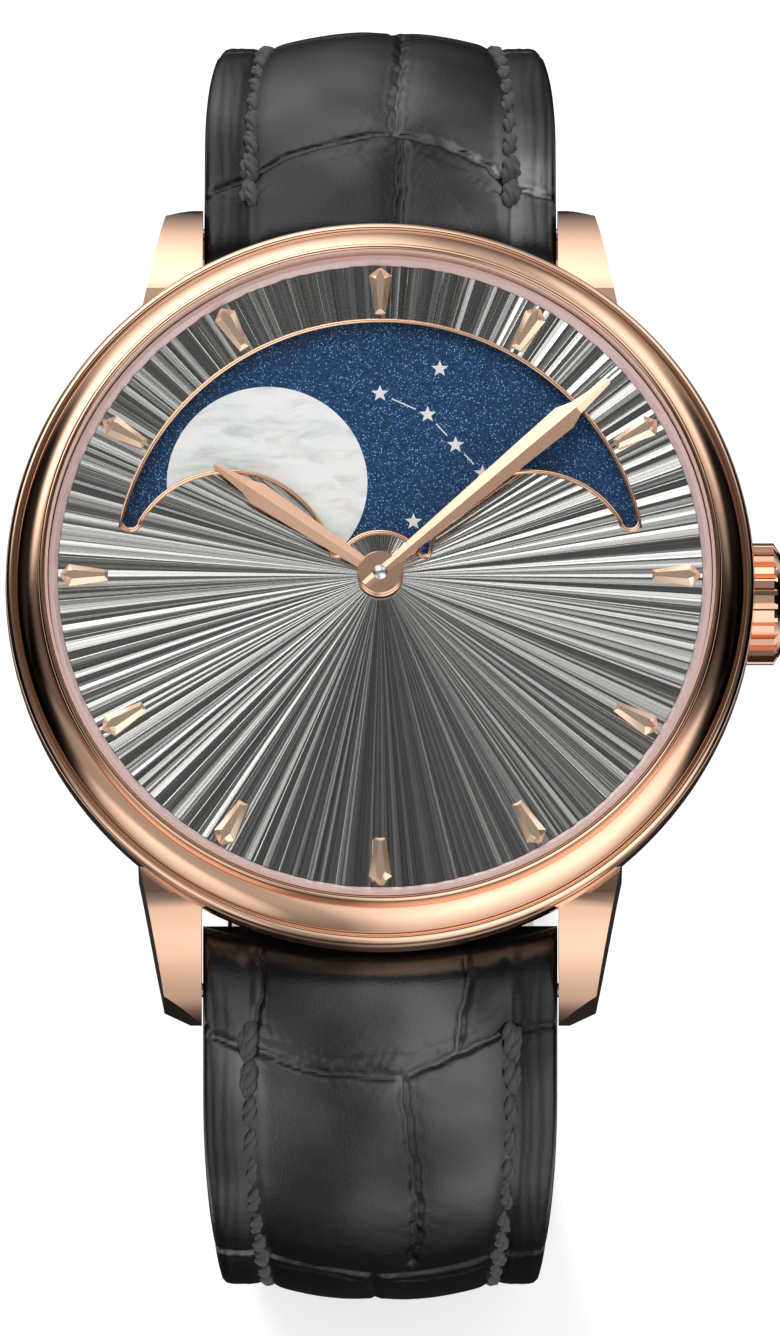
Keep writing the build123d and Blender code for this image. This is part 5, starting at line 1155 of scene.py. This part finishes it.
def make_dome():
    """Light that only glossy rays see: soft boxes behind and in front, dark overhead and at the sides."""
    bpy.ops.mesh.primitive_uv_sphere_add(segments=64, ring_count=32, radius=DOME_R)
    dome = bpy.context.active_object
    dome.name = "studio_dome"
    dome.visible_camera = False
    dome.visible_diffuse = False
    dome.visible_transmission = False
    dome.visible_shadow = False
    dome.visible_volume_scatter = False
    s = Shader("studio_light")
    place = s.node("TexCoord")
    way = s.node("SeparateXYZ", Vector=s.vector_math("NORMALIZE", place.outputs["Object"]))
    angle = s.math("ARCTAN2", way.outputs["Y"], way.outputs["Z"])
    share = s.math("ADD", s.math("DIVIDE", angle, 2 * math.pi), 0.5)
    strip = s.ramp(share, *[((degrees + 180) / 360, level) for degrees, level in STRIP_LIGHT])
    lean = s.math("MULTIPLY", way.outputs["Y"], SIDE_LEAN_SHARE)
    outward = s.math("ABSOLUTE", way.outputs["X"])
    sides = s.ramp(s.math("DIVIDE", s.math("ADD", outward, lean), SIDE_SPAN_SHARE), *SIDE_LIGHT_SHARES)
    across = s.math("MULTIPLY", way.outputs["X"], way.outputs["Y"])
    cross = s.ramp(s.math("SUBTRACT", 0.5, across), *CROSS_LIGHT_SHARES)
    sides = s.math("MULTIPLY", sides, cross)
    tone = s.noise(1.1, 2, vector=place.outputs["Object"])
    glow = s.node("Emission", Color=s.mix(tone, (1.0, 0.99, 0.98), (0.98, 0.99, 1.0)))
    downward = s.ramp(s.math("MULTIPLY", way.outputs["Z"], -1.0), (0.46, 0.0), (0.6, 1.0))
    rim = s.math("MULTIPLY", s.ramp(outward, (0.5, 0.0), (0.68, RIM_LIGHT)), downward)
    level = s.math("ADD", s.math("MULTIPLY", strip, sides), rim)
    s.put(glow.inputs["Strength"], s.math("MULTIPLY", level, DOME_LIGHT))
    s.tree.links.new(glow.outputs["Emission"], s.output.inputs["Surface"])
    dome.data.materials.append(s.material)


def make_world():
    world = bpy.data.worlds.new("studio")
    bpy.context.scene.world = world
    world.use_nodes = True
    tree = world.node_tree
    background = tree.nodes["Background"]
    rays = tree.nodes.new("ShaderNodeLightPath")
    seen = tree.nodes.new("ShaderNodeMath")
    seen.operation = "MAXIMUM"
    tree.links.new(rays.outputs["Is Camera Ray"], seen.inputs[0])
    tree.links.new(rays.outputs["Is Transmission Ray"], seen.inputs[1])
    strength = tree.nodes.new("ShaderNodeMapRange")
    strength.inputs["To Min"].default_value = FILL_LIGHT
    strength.inputs["To Max"].default_value = 1.0
    tree.links.new(seen.outputs[0], strength.inputs["Value"])
    background.inputs["Color"].default_value = (1, 1, 1, 1)
    tree.links.new(strength.outputs["Result"], background.inputs["Strength"])


def add_area(name, place, target, size, power):
    data = bpy.data.lights.new(name, "AREA")
    data.shape = "RECTANGLE"
    data.size, data.size_y = size
    data.energy = power
    lamp = bpy.data.objects.new(name, data)
    lamp.location = place
    lamp.visible_glossy = False
    lamp.rotation_euler = (Vector(target) - Vector(place)).to_track_quat("-Z", "Y").to_euler()
    bpy.context.collection.objects.link(lamp)


make_camera()
make_world()
make_floor()
make_dome()
add_area("key", (-0.35, 0.45, 0.9), (0, 0, 0.04), (0.35, 0.35), 3.2)
add_area("front", (0.3, -0.75, 0.55), (0, 0, 0.04), (0.4, 0.25), 1.3)

paint_nodes()
make_bezel(finish_of("case_middle"))
make_fluted_dial(finish_of("dial"))
make_window_frame(finish_of("window_frame"))
make_hand("hour_hand", HOUR_BEARING, HOUR_STATIONS, HOUR_HUB, 0.0, finish_of("hour_hand"))
make_hand("minute_hand", MINUTE_BEARING, MINUTE_STATIONS, MINUTE_HUB, RIDGE_LIFT, finish_of("minute_hand"))

outer = leather("strap_leather", (0.003, 0.003, 0.0034), (0.010, 0.010, 0.0112), gloss=0.22)
lining = leather("lining_leather", (0.62, 0.55, 0.47), (0.74, 0.68, 0.6), grain=1.8, gloss=0.65)
thread = waxed_thread()

short_more, short_more_fine = further_creases(18.6, 64.0, 3)
long_more, long_more_fine = further_creases(17.2, 118.0, 4)
short_route = make_strap(
    "strap_12_leather", 1, SHORT_STRETCHES,
    SHORT_MAIN_CREASES + short_more, SHORT_FINE_CREASES + short_more_fine,
    False, [], TONGUE_NOTCH, (outer, lining),
)
long_route = make_strap(
    "strap_6_leather", -1, LONG_STRETCHES,
    LONG_MAIN_CREASES + long_more, LONG_FINE_CREASES + long_more_fine,
    True, [FIRST_HOLE_LENGTH - HOLE_PITCH * i for i in range(HOLE_COUNT)], None, (outer, lining),
)
make_stitches("strap_12_stitches", 1, short_route, "strap_12", 0.9, 58.0, False, thread)
make_stitches("strap_6_stitches", -1, long_route, "strap_6", 1.6, 108.0, True, thread)
make_keeper("sewn_keeper", "strap_12", outer)
make_keeper("loose_keeper", "loose_keeper", outer)

bpy.context.scene.view_settings.view_transform = "Standard"
